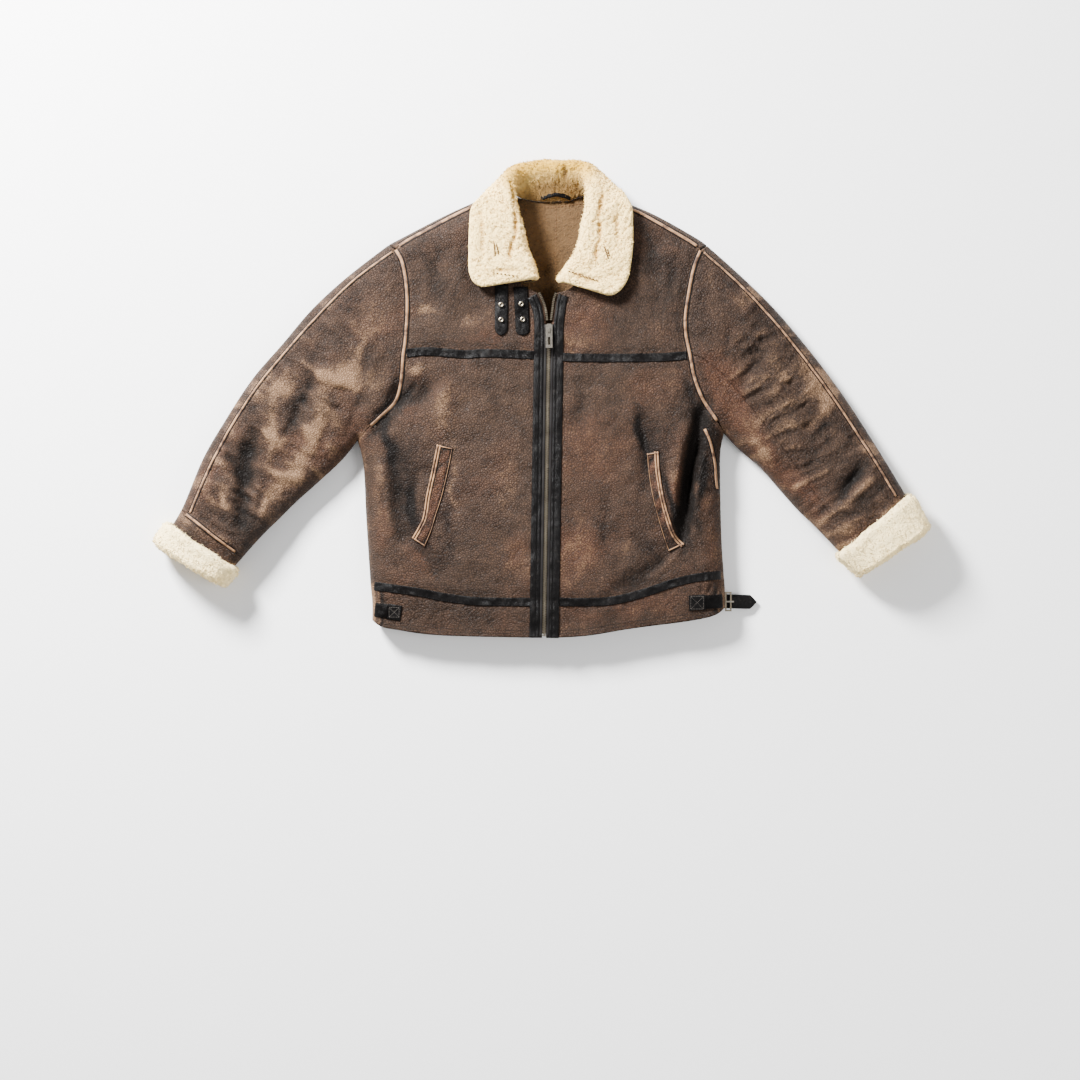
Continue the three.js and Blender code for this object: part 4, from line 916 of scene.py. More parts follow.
def spread(m, value, low, high, to_low=0.0, to_high=1.0):
    """The span from low to high brought to another span, with soft ends."""
    inputs = {0: value, 1: low, 2: high, 3: to_low, 4: to_high}
    return add_node(m, "MapRange", inputs, interpolation_type="SMOOTHSTEP")


def blend(m, share, first, second):
    """Two colours mixed. Each is a hex value or the output that gives it."""
    first, second = (linear(shade) if isinstance(shade, str) else shade for shade in (first, second))
    return add_node(m, "Mix", {0: share, 6: first, 7: second}, out=2, data_type="RGBA")


def bumped(m, height, strength, distance):
    return add_node(m, "Bump", {"Height": height, "Strength": strength, "Distance": distance})


def finished(m, inputs):
    """The material, shaded by a Principled shader with these inputs."""
    add_node(m, "OutputMaterial", {"Surface": add_node(m, "BsdfPrincipled", inputs)})
    return m


def hide_material(colours):
    """Sheepskin, aniline dyed and rubbed by hand: the dye is thick and dark in the grain, brown or
    red-brown where it thins, and the tan skin shows where it has worn through. Mottled over 90 mm and
    20 mm, speckled at 3 mm and grained at 4 mm, twice the real grain so that it shows, with a dry
    crackle of 6 mm cells where the attribute calls for it."""
    m = new_material("rubbed_sheepskin_hide")
    place = place_in(m)
    # stain_and_shade holds stains and also the shade painted into troughs, grooves and beside seams and
    # pockets
    pale, warm, stain_and_shade, dry = (attribute(m, name) for name in ("pale", "warm", "stain_and_shade", "dry"))
    clouds = cloud(m, place, 11.0, 4.0)
    mottle = cloud(m, place, 50.0, 5.0, 0.65)
    speckle = cloud(m, place, 300.0, 3.0, 0.7)
    bend = cloud(m, place, 120.0, 2.0, out="Color")
    bent_place = add_node(
        m, "VectorMath", {0: bend, 1: (0.006, 0.006, 0.006), 2: place}, operation="MULTIPLY_ADD"
    )
    grain = borders(m, place, 250.0)
    cracks = borders(m, bent_place, 165.0)

    tone = gained(m, mottle, 0.65, -0.47)
    # Lowering tone by stain_and_shade darkens towards hide_dark and hide_stain_and_shade: stains and painted
    # shade alike
    for value, factor in ((clouds, 0.4), (speckle, 0.8), (pale, 0.6), (stain_and_shade, -0.34)):
        tone = gained(m, value, factor, tone)
    warmth = spread(m, gained(m, clouds, 1.2, warm), 0.5, 1.15)
    middle = blend(m, warmth, colours.hide_brown, colours.hide_warm)
    colour = colours.hide_stain_and_shade
    for start, end, shade in (
        (-0.1, 0.25, colours.hide_dark), (0.15, 0.55, middle), (0.5, 1.05, colours.hide_pale),
    ):
        colour = blend(m, spread(m, tone, start, end), colour, shade)
    pits = spread(m, grain, 0.0, 0.22, 0.5, 0.0)
    colour = blend(m, pits, colour, colours.hide_stain_and_shade)
    lines = spread(m, cracks, 0.0, 0.09, 0.35, 0.0)
    lines = add_node(m, "Math", {0: lines, 1: dry}, operation="MULTIPLY")
    colour = blend(m, lines, colour, colours.hide_stain_and_shade)

    height = spread(m, grain, 0.0, 0.25)
    for value, factor in ((speckle, 1.2), (mottle, 2.0), (lines, -2.5)):
        height = gained(m, value, factor, height)
    bump = bumped(m, height, 0.85, 0.0011)
    rough = spread(m, mottle, 0.35, 0.65, 0.46, 0.68)
    return finished(
        m, {"Base Color": colour, "Roughness": rough, "Normal": bump, "Specular IOR Level": 0.1}
    )


def strip_material(colours):
    """Seam strips and pipings of the same hide, folded and rubbed: the tan skin shows on the crown, and the
    stitch channels are painted dark as the shade of their sunk grooves. The attribute channel is 1 in them."""
    m = new_material("rubbed_hide_strip")
    place = place_in(m)
    channel = attribute(m, "channel")
    mottle = cloud(m, place, 70.0, 5.0, 0.65)
    worn = spread(m, mottle, 0.36, 0.56)
    colour = blend(m, worn, colours.strip_brown, colours.strip_pale)
    # Painted shade: the channels darkened towards the stain colour
    channel_shade = spread(m, gained(m, mottle, 0.4, channel), 0.45, 0.8)
    colour = blend(m, channel_shade, colour, colours.hide_stain_and_shade)
    bump = bumped(m, mottle, 0.4, 0.001)
    return finished(
        m, {"Base Color": colour, "Roughness": 0.6, "Normal": bump, "Specular IOR Level": 0.1}
    )


def black_leather_material(name, colour_hex, wear_hex, gloss):
    """Black cowhide with a satin finish and a pebbled grain, drawn at 2 mm so that it shows, and grey
    where it is rubbed."""
    m = new_material(name)
    place = place_in(m)
    mottle = cloud(m, place, 130.0, 4.0, 0.7)
    grain = borders(m, place, 500.0)
    rubbed = spread(m, mottle, 0.52, 0.78)
    colour = blend(m, rubbed, colour_hex, wear_hex)
    pebbles = spread(m, grain, 0.0, 0.25)
    bump = bumped(m, gained(m, mottle, 2.5, pebbles), 0.5, 0.0005)
    return finished(
        m, {"Base Color": colour, "Roughness": 0.4, "Normal": bump, "Specular IOR Level": gloss}
    )


def pile_material(name, light_hex, deep_hex, gold_hex, neck_shade_hex):
    """Clipped wool: matt fibres with a soft halo, darker between the curls, partly the roots' own colour and
    partly painted shade; yellow where the grease of the neck has stained it, and brown at the foot of the
    stand, painted shade inside the neck. Fine curls at 3 mm."""
    m = new_material(name)
    place = place_in(m)
    roots_and_shade, gold, neck_shade = (attribute(m, key) for key in ("roots_and_shade", "gold", "neck_shade"))
    clouds = cloud(m, place, 28.0, 3.0)
    curl = cloud(m, place, 330.0, 3.0, 0.7)
    tint = gained(m, curl, 1.3, roots_and_shade)
    tint = spread(m, gained(m, clouds, 0.7, tint), 0.9, 1.75)
    colour = blend(m, tint, light_hex, deep_hex)
    for amount, shade in ((gold, gold_hex), (neck_shade, neck_shade_hex)):
        share = spread(m, gained(m, clouds, 0.3, amount), 0.2, 1.15)
        colour = blend(m, share, colour, shade)
    bump = bumped(m, curl, 1.0, 0.003)
    return finished(m, {
        "Base Color": colour, "Roughness": 0.95, "Normal": bump,
        "Sheen Weight": 0.12, "Specular IOR Level": 0.08,
    })


def metal_material(name, hex_colour, roughness):
    """Zinc casting, nickel or antique-brass plated and tumbled: dull, with scuffs about 1 mm apart."""
    m = new_material(name)
    scuff = cloud(m, place_in(m), 900.0, 3.0)
    rough = spread(m, scuff, 0.3, 0.7, roughness - 0.08, roughness + 0.12)
    return finished(m, {"Base Color": linear(hex_colour), "Metallic": 1.0, "Roughness": rough})


def thread_material(name, hex_colour):
    """Waxed polyester thread or woven tape: matt, a little uneven in the dye every 2 mm."""
    m = new_material(name)
    weave = cloud(m, place_in(m), 500.0, 2.0)
    rough = spread(m, weave, 0.3, 0.7, 0.55, 0.8)
    return finished(
        m, {"Base Color": linear(hex_colour), "Roughness": rough, "Specular IOR Level": 0.2}
    )


def floor_material(hex_colour):
    """Matt painted board: plain and pale."""
    m = new_material("matt_white_board")
    return finished(m, {"Base Color": linear(hex_colour), "Roughness": 0.9})


def made_material(name):
    """One of the materials by its short name: the function that makes it and what that is told."""
    colours = bpy.context.scene.jacket_colours
    gold_stain_and_neck_shade = (colours.pile_gold, colours.pile_neck_shade)
    maker, *told = {
        "hide": (hide_material, colours),
        "strip": (strip_material, colours),
        "black": (black_leather_material, "black_satin_cowhide", colours.black, colours.black_worn, 0.05),
        "worn_black": (
            black_leather_material, "scuffed_black_cowhide", colours.black, colours.black_scuffed, 0.09,
        ),
        "pile": (pile_material, "cream_clipped_wool", colours.pile_light, colours.pile_deep, *gold_stain_and_neck_shade),
        "cuff_pile": (pile_material, "ivory_clipped_wool", colours.cuff_light, colours.cuff_deep, *gold_stain_and_neck_shade),
        "lining_pile": (
            pile_material, "tan_clipped_wool", colours.lining_light, colours.lining_deep, *gold_stain_and_neck_shade,
        ),
        "steel": (metal_material, "tumbled_nickel_plate", colours.steel, 0.34),
        "teeth": (metal_material, "antiqued_zip_metal", colours.teeth, 0.4),
        "thread": (thread_material, "black_waxed_thread", colours.thread),
        "grey_thread": (thread_material, "grey_waxed_thread", colours.grey_thread),
        "brown_thread": (thread_material, "brown_waxed_thread", colours.brown_thread),
        "zip_cloth": (thread_material, "woven_zip_tape", colours.zip_tape),
        "floor": (floor_material, colours.floor),
    }[name]
    return maker(*told)


MADE = {}


def material(name):
    """A material by its short name, made once."""
    if name not in MADE:
        MADE[name] = made_material(name)
    return MADE[name]


# Pieces

def wear_and_painted_shade(p, ridge, seam, d, dry):
    """Numbers for the hide's wear and painted shade at plan points: ovals of the table with wandering
    borders; ridges, gathers, seam and outline edges rubbed pale, and a pale line along the hem; shade
    painted dark into the troughs, the sides of seams and a line along the hem; the crackle left dark."""
    found = {"pale": np.zeros(len(p)), "warm": np.zeros(len(p)), "stain_and_shade": np.zeros(len(p)), "dry": dry}
    wander = np.stack([noise(p, 34, 21), noise(p, 34, 22)], -1) * 9
    wander += np.stack([noise(p, 13, 23), noise(p, 13, 24)], -1) * 4
    for x, y, long, wide, turn, pale, warm, stain_and_shade in PATINA:
        angle = math.radians(turn)
        q = p + wander - (x, y)
        a = q[:, 0] * math.cos(angle) + q[:, 1] * math.sin(angle)
        b = q[:, 1] * math.cos(angle) - q[:, 0] * math.sin(angle)
        oval = np.exp(-((a / long) ** 2) - (b / wide) ** 2)
        for key, amount in (("pale", pale), ("warm", warm), ("stain_and_shade", stain_and_shade)):
            found[key] += amount * oval
    hem = ramp(-p[:, 1], 300, 330) * ramp(300 - np.abs(p[:, 0]), -20, 10)
    drawn = gathers(p)
    found["pale"] += 0.7 * np.clip(drawn, 0, 1) + 0.09 * np.clip(ridge, 0, 5) + 0.35 * bell(seam, 6)
    found["pale"] += (0.15 + 0.9 * hem) * np.exp(-((d / 7) ** 4)) + 0.6 * hem * bell(d - 13, 2.5)
    # Painted shade: a dark line 18 mm in from the hem, beside the pale line at 13 mm, as the shade of a
    # groove along the stitching
    found["stain_and_shade"] += 1.2 * hem * bell(d - 18, 2.5)
    # Painted shade in the troughs of the gathers and folds, and 13 mm to either side of the seams
    found["stain_and_shade"] += (
        0.4 * np.clip(-drawn, 0, 1) + 0.13 * np.clip(-ridge, 0, 16) + 0.25 * bell(seam - 13, 7)
    )
    found["stain_and_shade"] += 0.25 * dry * crackle(p)
    return found


def hide_grids(plan, up, dry_share):
    """Outer face, inner face, cut-edge line, and wear and painted shade of one panel on a plan grid (n, m,
    2).
    """
    n, m = plan.shape[:2]
    p = plan.reshape(-1, 2)
    d, seam, dry = edge_distance(p), seam_distance(p), dryness(p) * dry_share
    height = main_top(p, d, seam) if up > 0 else main_under(p, d)
    smooth_face = np.column_stack([p, height]).reshape(n, m, 3)
    normals = grid_normals(smooth_face)
    normals *= np.where(normals[..., 2:] * up < 0, -1, 1)
    rim = (d < 0.5).reshape(n, m)
    if rim.any():
        normals[rim] = out_of_edge(plan[rim])
    fine = relief(p, d, seam, dry) if up > 0 else under_relief(p, d)
    outer = smooth_face.copy()
    outer[..., 2] += fine.reshape(n, m)
    if up < 0:
        outer[..., 2] = np.maximum(outer[..., 2], 0)
    tufts = curls(p, FLEECE, 13)
    fleece = 1.2 * tufts - 0.6 if up < 0 else np.zeros(len(p))
    inner = smooth_face - normals * (WALL + fleece.reshape(n, m, 1))
    if up > 0:
        floor_z = (SIDE_Z + HALF + cuff_lift(p)).reshape(n, m)
        inner[..., 2] = np.maximum(inner[..., 2], floor_z)
    edge = outer - normals * HIDE
    ridge = fold_height(p, FOLDS) + 1.6 * fold_height(p, CREASES)
    wear_and_shade = wear_and_painted_shade(p, ridge if up > 0 else np.zeros(len(p)), seam, d, dry)
    # Darker between the lining's curls: the roots' colour and painted shade
    wear_and_shade["roots_and_shade"] = 0.5 - 0.5 * tufts
    return outer, inner, edge, wear_and_shade


FLAT_SIZES = {}  # each cloth piece's flat width, length and area, in metres


def note_flat_size(name, grid):
    """The flat size of a piece: the longest run along each way of its grid, and its face's area."""
    du = np.linalg.norm(np.diff(grid, axis=1), axis=-1).sum(1).max()
    dv = np.linalg.norm(np.diff(grid, axis=0), axis=-1).sum(0).max()
    a, b, c, d = grid[:-1, :-1], grid[:-1, 1:], grid[1:, 1:], grid[1:, :-1]
    area = 0.5 * np.linalg.norm(np.cross(c - a, d - b), axis=-1).sum()
    FLAT_SIZES[name] = (du * MM, dv * MM, area * MM * MM)


def add_hide(node, outer, inner, edge, wear_and_shade, closed_rows=False):
    """A wall of hide with its pile inside, in place of a node of the solids."""
    materials = [material("hide"), material("lining_pile")]
    piece = add_wall(f"{node}_hide", outer, inner, edge, materials, closed_rows, wear_and_shade)
    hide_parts(node)
    note_flat_size(piece.name, np.concatenate([outer, outer[:, :1]], 1) if closed_rows else outer)


def add_panel(node, plan, up=1, dry_share=1.0):
    add_hide(node, *hide_grids(plan, up, dry_share))


def crowded(n, power):
    """Shares that crowd towards 0."""
    return shares(n) ** power


# Where, along one side of a panel, its first seam line ends and its second begins
SHOULDER_SHARE = (9 / 15) ** 1.35
ARMHOLE = {"upper": 8 / 14, "lower": 13 / 19, "back": 11 / 19}


def add_front(side):
    """A front's four panels. Each is a Coons patch between its seams, its columns crowding to the
    outline, where the skin turns under."""
    found = LINES[side]
    chest_end, waist_end, hem_end = (found[name][-1] for name in ("chest", "waist", "hem"))
    across = crowded(92, 1.35)
    yoke = patch(
        run(found["chest"]), bent(found["shoulderSeam"], found["neck"], SHOULDER_SHARE),
        run(found["armholeUpper"]), run(found["front"]),
        inset(across, HALF / 240, 0), inset(shares(66), HALF / 210, HALF / 210),
    )
    flank = bent(found["side"][::-1], found["armholeLower"][::-1], ARMHOLE["lower"])
    body = patch(
        run(found["waist"]), run(found["chest"]), flank, run([waist_end, chest_end]),
        across, inset(shares(132), HALF / 400, HALF / 400),
    )
    hem = patch(
        run(found["hem"]), run(found["waist"]), run(found["hemSide"][::-1]), run([hem_end, waist_end]),
        across, inset(shares(22), 0, HALF / 60),
    )
    shoulder = patch(
        run(found["shoulderEdge"]), run(found["shoulderSeam"]),
        run([found["shoulderEdge"][0], found["shoulderSeam"][0]]),
        run([found["shoulderEdge"][-1], found["shoulderSeam"][-1]]),
        inset(shares(70), CORNER_GAP / 190, 0), inset(crowded(8, 1.5), 0, HALF / 11),
    )
    panels = {"front_yoke": yoke, "front_body": body, "front_hem": hem, "shoulder": shoulder}
    for name, plan in panels.items():
        add_panel(f"{side}_{name}", plan)


def add_back():
    """The back in one piece: a Coons patch between the hem, the sides and armholes, and the
    shoulders with the neck. Its inner face is the tan pile seen through the neck."""
    def flank(side):
        found = LINES[side]
        lower = joined(found["side"], found["hemSide"])[::-1]
        return bent(lower, found["armholeBack"], ARMHOLE["back"])

    top = joined(
        LINES["right"]["shoulderEdge"], smooth(BACK_NECK), LINES["left"]["shoulderEdge"][::-1]
    )
    us = (evened(110) + shares(110)) / 2
    vs = inset((evened(130) + shares(130)) / 2, 0, HALF / 720)
    plan = patch(run(smooth(BACK_HEM)), run(top), flank("right"), flank("left"), us, vs)
    add_panel("back", plan, -1)


def armhole_of(side, lines, knee=None):
    """The sleeve's side of an armhole, moved off the body's side, and most towards the underarm."""
    moved = [shifted(line, -1 if side == "right" else 1) for line in lines]
    still = bent(*lines, knee) if knee else run(lines[0])
    curve = bent(*moved, knee) if knee else run(moved[0])

    def at(t):
        t = np.asarray(t)
        off = SEAM_GAP + (ARMHOLE_GAP - SEAM_GAP) * ramp(t, 0.7, 0.92)
        off = (off * np.clip(np.minimum(12 * t, 20 * (1 - t)), 0, 1))[..., None]
        return still(t) * (1 - off) + curve(t) * off

    return at


def add_sleeve(side):
    """A sleeve's top half between the overarm seam and the underarm, and its back half, which turns
    over the overarm edge and runs back underneath."""
    found = LINES[side]
    end = SLEEVE_END[side]

    def upto(part):
        return lambda t: section(side, part, np.asarray(t) * end)

    def across(start, stop):
        return run([section(side, start, end), section(side, stop, end)])

    gap_end = SEAM_GAP / 450 if end < MOUTH else 0
    us = inset(shares(200), ARMHOLE_GAP / 450, gap_end)
    knee = ARMHOLE["upper"]
    armhole = armhole_of(side, [found["armholeUpper"][::-1], found["armholeLower"]], knee)
    if "gusset" in found:
        cut = found["gusset"]
        top = patch(
            upto("seam"), run(cut), lambda t: armhole(knee * t), run([section(side, "seam", end), cut[-1]]),
            us, inset(shares(66), HALF / 150, HALF / 150),
        )
        gusset = patch(
            run(cut), upto("under"), lambda t: armhole(knee + (1 - knee) * t),
            run([cut[-1], section(side, "under", end)]), us, inset(1 - crowded(27, 1.3)[::-1], HALF / 60, 0),
        )
        add_panel(f"{side}_sleeve_gusset", gusset, dry_share=0.25)
    else:
        vs = inset(1 - crowded(86, 1.3)[::-1], HALF / 200, 0)
        top = patch(upto("seam"), upto("under"), armhole, across("seam", "under"), us, vs)
    add_panel(f"{side}_sleeve_top", top)

    turn_vs = inset(1 - crowded(8, 1.5)[::-1], HALF / 14, 0)[:-1]
    turn = patch(
        upto("seam"), upto("edge"), run([found["seam"][0], found["edge"][0]]),
        across("seam", "edge"), us, turn_vs,
    )
    behind = armhole_of(side, [found["armholeBack"][::-1]])
    under = patch(upto("edge"), upto("under"), behind, across("edge", "under"), us, evened(32))
    add_turned_panel(f"{side}_sleeve_back", turn, under)


def add_turned_panel(node, turn, under):
    """A panel whose first rows lie on the top side and the rest underneath, meeting at the outline."""
    rows = len(turn)
    plan = np.concatenate([turn, under])
    n, m = plan.shape[:2]
    p = plan.reshape(-1, 2)
    d, seam, dry = edge_distance(p), seam_distance(p), dryness(p)
    on_top = np.repeat(np.arange(n) < rows, m)
    height = np.where(on_top, main_top(p, d, seam), main_under(p, d))
    face = np.column_stack([p, height]).reshape(n, m, 3)
    normals = grid_normals(face)
    middle = np.array([p[:, 0].mean(), p[:, 1].mean(), SIDE_Z + 6])
    pointing_in = np.einsum("ijk,ijk->ij", normals, face - middle) < 0
    if pointing_in.mean() > 0.5:
        normals = -normals
    rim = (d < 0.5).reshape(n, m)
    normals[rim] = out_of_edge(plan[rim])
    outer = face.copy()
    outer[..., 2] += np.where(on_top, relief(p, d, seam, dry), under_relief(p, d)).reshape(n, m)
    wear_and_shade = wear_and_painted_shade(p, np.zeros(len(p)), seam, d, dry)
    # Darker between the lining's curls: the roots' colour and painted shade
    wear_and_shade["roots_and_shade"] = 0.5 - 0.5 * curls(p, FLEECE, 13)
    add_hide(node, outer, face - normals * WALL, outer - normals * HIDE, wear_and_shade)


def outward(p, up):
    """The outward direction of a skin: level at the outline, from its slope further in."""
    reach = 4.0

    def height(q):
        d = edge_distance(q)
        return main_top(q, d, seam_distance(q)) if up > 0 else main_under(q, d)

    x = (height(p + (reach, 0)) - height(p - (reach, 0))) / (2 * reach)
    y = (height(p + (0, reach)) - height(p - (0, reach))) / (2 * reach)
    out = unit(np.column_stack([-x * up, -y * up, np.full(len(p), float(up))]))
    rim = edge_distance(p) < 0.5
    if rim.any():
        out[rim] = out_of_edge(p[rim])
    return out


def tube(side, s, off, beyond, around):
    """Rings round a sleeve's end. s, off and beyond are arrays of one number a ring: the section it
    lies at, how far out from the skin, and how far past it along the sleeve. A ring starts at the
    overarm edge, goes over the top to the underarm and comes back underneath."""
    c = evened(around)[1:]
    share = np.concatenate([c, 1 - c])
    up = np.repeat([1, -1], around)
    edge, under = section(side, "edge", s), section(side, "under", s)
    plan = edge[:, None] * (1 - share[None, :, None]) + under[:, None] * share[None, :, None]
    rings = np.zeros((*plan.shape[:2], 3))
    for way in (1, -1):
        here = up == way
        p = plan[:, here].reshape(-1, 2)
        d = edge_distance(p)
        z = main_top(p, d, seam_distance(p)) if way > 0 else main_under(p, d)
        at = np.column_stack([p, z]) + outward(p, way) * np.repeat(off, here.sum())[:, None]
        rings[:, here] = at.reshape(len(s), -1, 3)
    rings[..., :2] += sleeve_end(side)[1] * np.asarray(beyond)[:, None, None]
    return rings


def add_cuff_band():
    """The band at the right sleeve's end: a tube of the skin, open at both ends."""
    rings, half_round = 30, 44
    s = np.linspace(7.006, MOUTH, rings)
    outer, inner, edge = (
        tube("right", s, np.full(rings, off), np.zeros(rings), half_round) for off in (0.0, -WALL, -HIDE)
    )
    p = outer[..., :2].reshape(-1, 2)
    d, seam, dry = edge_distance(p), seam_distance(p), dryness(p)
    fine = relief(p, d, seam, dry).reshape(outer.shape[:2])
    outer[:, :half_round, 2] += fine[:, :half_round] * 0.6
    wear_and_shade = wear_and_painted_shade(p, np.zeros(len(p)), seam, d, dry)
    add_hide("right_cuff_band", outer, inner, edge, wear_and_shade, closed_rows=True)


def add_cuff_pile(side):
    """A turned-back cuff: a ring of pile whose cross-section is a soft loop through the rings that the
    solid has, pushed out by curls and slow lumps."""
    start = CUFF_FROM[side]
    span = MOUTH - start
    thick = PILE + CUFF_CLEAR
    loop = np.array([
        (start, CUFF_CLEAR, 0), (start, PILE * 0.7, 0), (start + span * 0.12, thick, 0),
        (start + span * 0.36, thick, 0), (start + span * 0.6, thick, 0), (start + span * 0.82, thick, 0),
        (MOUTH, thick, 0), (MOUTH, PILE * 0.9, CUFF_LIP * 0.5), (MOUTH, PILE * 0.45, CUFF_LIP * 0.9),
        (MOUTH, -WALL * 0.5, CUFF_LIP), (MOUTH, -WALL * 0.9, CUFF_LIP * 0.7),
        (MOUTH, -WALL * 0.9, CUFF_CLEAR * 1.4), (MOUTH, CUFF_CLEAR, CUFF_CLEAR * 1.4),
        (start + span * 0.75, CUFF_CLEAR, 0), (start + span * 0.5, CUFF_CLEAR, 0),
    ])
    wrapped = np.vstack([loop[-2:], loop, loop[:2]])
    fine = smooth(wrapped, 4)[8:-8][: 4 * len(loop)]
    rings = tube(side, fine[:, 0], fine[:, 1], fine[:, 2], 60)
    closed = np.concatenate([rings[-1:], rings, rings[:1]])
    closed = np.concatenate([closed[:, -1:], closed, closed[:, :1]], 1)
    normals = grid_normals(closed)[1:-1, 1:-1]
    n, m = rings.shape[:2]
    length, girth = travelled(rings[:, 0]), travelled(rings[n // 4])
    at = np.stack(np.broadcast_arrays(girth[None, :], length[:, None]), -1).reshape(-1, 2)
    tufts = curls(at, FLEECE, 43)
    lumps = 1.5 * noise(at, 21, 41) + 1.9 * (tufts - 0.6) + 0.7 * noise(at, 3.6, 44)
    shown = ((fine[:, 1] > PILE * 0.4) | (fine[:, 2] > CUFF_LIP * 0.6)).astype(float)[:, None]
    faces = grid_quads(n, m, True, True)
    if enclosed(rings.reshape(-1, 3), faces) < 0:
        faces = faces[:, ::-1]
        normals = -normals
    if enclosed((rings + normals).reshape(-1, 3), faces) < enclosed(rings.reshape(-1, 3), faces):
        normals = -normals
    rings = rings + normals * (lumps.reshape(n, m) * shown)[..., None]
    rings[..., 2] = np.maximum(rings[..., 2], 0.2)
    # The cuff's wool is darker between the curls: the roots' colour and painted shade
    piece = new_piece(
        f"{side}_cuff_wool", rings.reshape(-1, 3), faces, [material("cuff_pile")],
        values={"roots_and_shade": 0.55 - 0.5 * tufts},
    )
    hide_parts(f"{side}_cuff_pile")
    note_flat_size(piece.name, rings[: n // 2 + 2])
    return rings, normals, shown


def collar_face(ts, columns):
    """The collar's pile face. At a station t it runs up the stand from the neck seam, round the roll on
    a half circle and out to the loose edge; columns 0 to 3 are the stand, 3 to 8 the roll, 8 to 14 the
    fall. The three guide lines are Catmull-Rom curves whose end spans run straight on, and the fall's
    two corners are rounded off over three hundredths of the way."""
    knots = np.asarray(COLLAR, float)
    extended = np.vstack([2 * knots[0] - knots[1], knots, 2 * knots[-1] - knots[-2]])
    at = ts * (len(knots) - 1)
    i = np.minimum(at.astype(int), len(knots) - 2)
    t = (at - i)[:, None]
    a, b, c, d = (extended[i + k] for k in range(4))
    slope_b, slope_c = (c - a) / 2, (d - b) / 2
    row = (2 * b - 2 * c + slope_b + slope_c) * t**3
    row = row + (3 * c - 3 * b - 2 * slope_b - slope_c) * t**2 + slope_b * t + b
    neck, roll, edge = row[:, None, 0:3], row[:, None, 3:6], row[:, None, 6:9]
    radius = (b[:, 9:] * (1 - t) + c[:, 9:] * t)[:, None]
    inward = unit((neck + edge) / 2 - roll)
    across = edge - neck
    across = unit(across - (across * inward).sum(-1, keepdims=True) * inward)

    def turn(angle):
        return roll + inward * radius * (1 - np.cos(angle)) + across * radius * np.sin(angle)

    j = columns[None, :, None]
    stand = neck + (turn(-np.pi / 2) - neck) * np.clip(j / 3, 0, 1)
    arc = turn(np.pi * (np.clip((j - 3) / 5, 0, 1) - 0.5))
    corner = 1 - np.clip(np.minimum(ts, 1 - ts) / 0.03, 0, 1)
    kept = 1 - 0.15 * (1 - np.sqrt(1 - corner**2))
    fall = turn(np.pi / 2) + (edge - turn(np.pi / 2)) * np.clip((j - 8) / 6, 0, 1) * kept[:, None, None]
    face = np.where(j < 3, stand, np.where(j <= 8, arc, fall))
    lying = ((ts < 0.24) | (ts > 0.74))[:, None] & (columns > 8)[None, :]
    p = face[lying][:, :2]
    d = edge_distance(p)
    rest = main_top(p, d, seam_distance(p)) + COLLAR_WALL + 1.6
    face[lying, 2] = np.maximum(face[lying, 2], rest)
    return face


def collar_grids():
    """The collar's face, its outward directions, how far each point is from the loose rim, and how
    far round the neck and how far out it lies."""
    ts = shares(330)
    columns = np.concatenate([
        np.linspace(0, 3, 14)[:-1], np.linspace(3, 8, 29)[:-1], np.linspace(8, 14, 38),
    ])
    face = collar_face(ts, columns)
    for _ in range(6):  # evens out the steps where the fall is lifted onto the fronts
        face[1:-1, 1:-1, 2] = (
            face[1:-1, 1:-1, 2] * 2 + face[:-2, 1:-1, 2] + face[2:, 1:-1, 2]
            + face[1:-1, :-2, 2] + face[1:-1, 2:, 2]
        ) / 6
    normals = -grid_normals(face)
    round_neck, outwards = travelled(face), travelled(face, 1)
    ends = np.minimum(round_neck, round_neck[-1:] - round_neck)
    rim = np.minimum(ends, outwards[:, -1:] - outwards)
    return face, normals, rim, np.stack([round_neck, outwards], -1)


def add_collar():
    """The collar: a wall of pile 12 mm thick whose face is pushed out by curls, lumps and partings,
    and whose loose rims are rounded over."""
    face, normals, rim, place = collar_grids()
    n, m = face.shape[:2]
    at = place.reshape(-1, 2)
    tufts = curls(at, 5.5, 53)
    lumps = 1.6 * noise(at, 26, 51) + 2.2 * (tufts - 0.6) + 0.8 * noise(at, 3.4, 54)
    p = face[..., :2].reshape(-1, 2)
    parting = fold_height(p, PARTINGS).reshape(n, m) * (normals[..., 2] > 0.3)
    tuck = COLLAR_WALL * 0.36 * (1 - rounding(rim / 9))
    outer = face + normals * (lumps.reshape(n, m) + parting - tuck)[..., None]
    inner = face - normals * (COLLAR_WALL - tuck)[..., None]
    edge = face - normals * (COLLAR_WALL * 0.8)
    for grid in (inner, outer, edge):
        grid[..., 2] = np.maximum(grid[..., 2], 0)
    column = np.linspace(0, 1, m)[None, :]
    station = np.linspace(0, 1, n)[:, None]
    roll, behind = bell(column - 0.36, 0.2), bell(station - 0.49, 0.16)
    # roots_and_shade darkens between the curls and in the partings, the roots' colour and painted shade;
    # gold is the neck's grease stain; neck_shade is painted shade at the foot of the stand behind the neck
    values = {
        "roots_and_shade": (0.6 - 0.75 * tufts).reshape(n, m) - parting * 0.2,
        "gold": bell(station - 0.47, 0.2) * (0.4 + 0.9 * roll),
        "neck_shade": behind * 1.3 * np.clip(1.1 - column / 0.26, 0, 1) - parting * 0.15 * behind,
    }
    materials = [material("pile"), material("hide")]
    piece = add_wall("collar_wool", outer, inner, edge, materials, values=values)
    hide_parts("collar")
    note_flat_size(piece.name, face)
    return outer, normals, rim, values


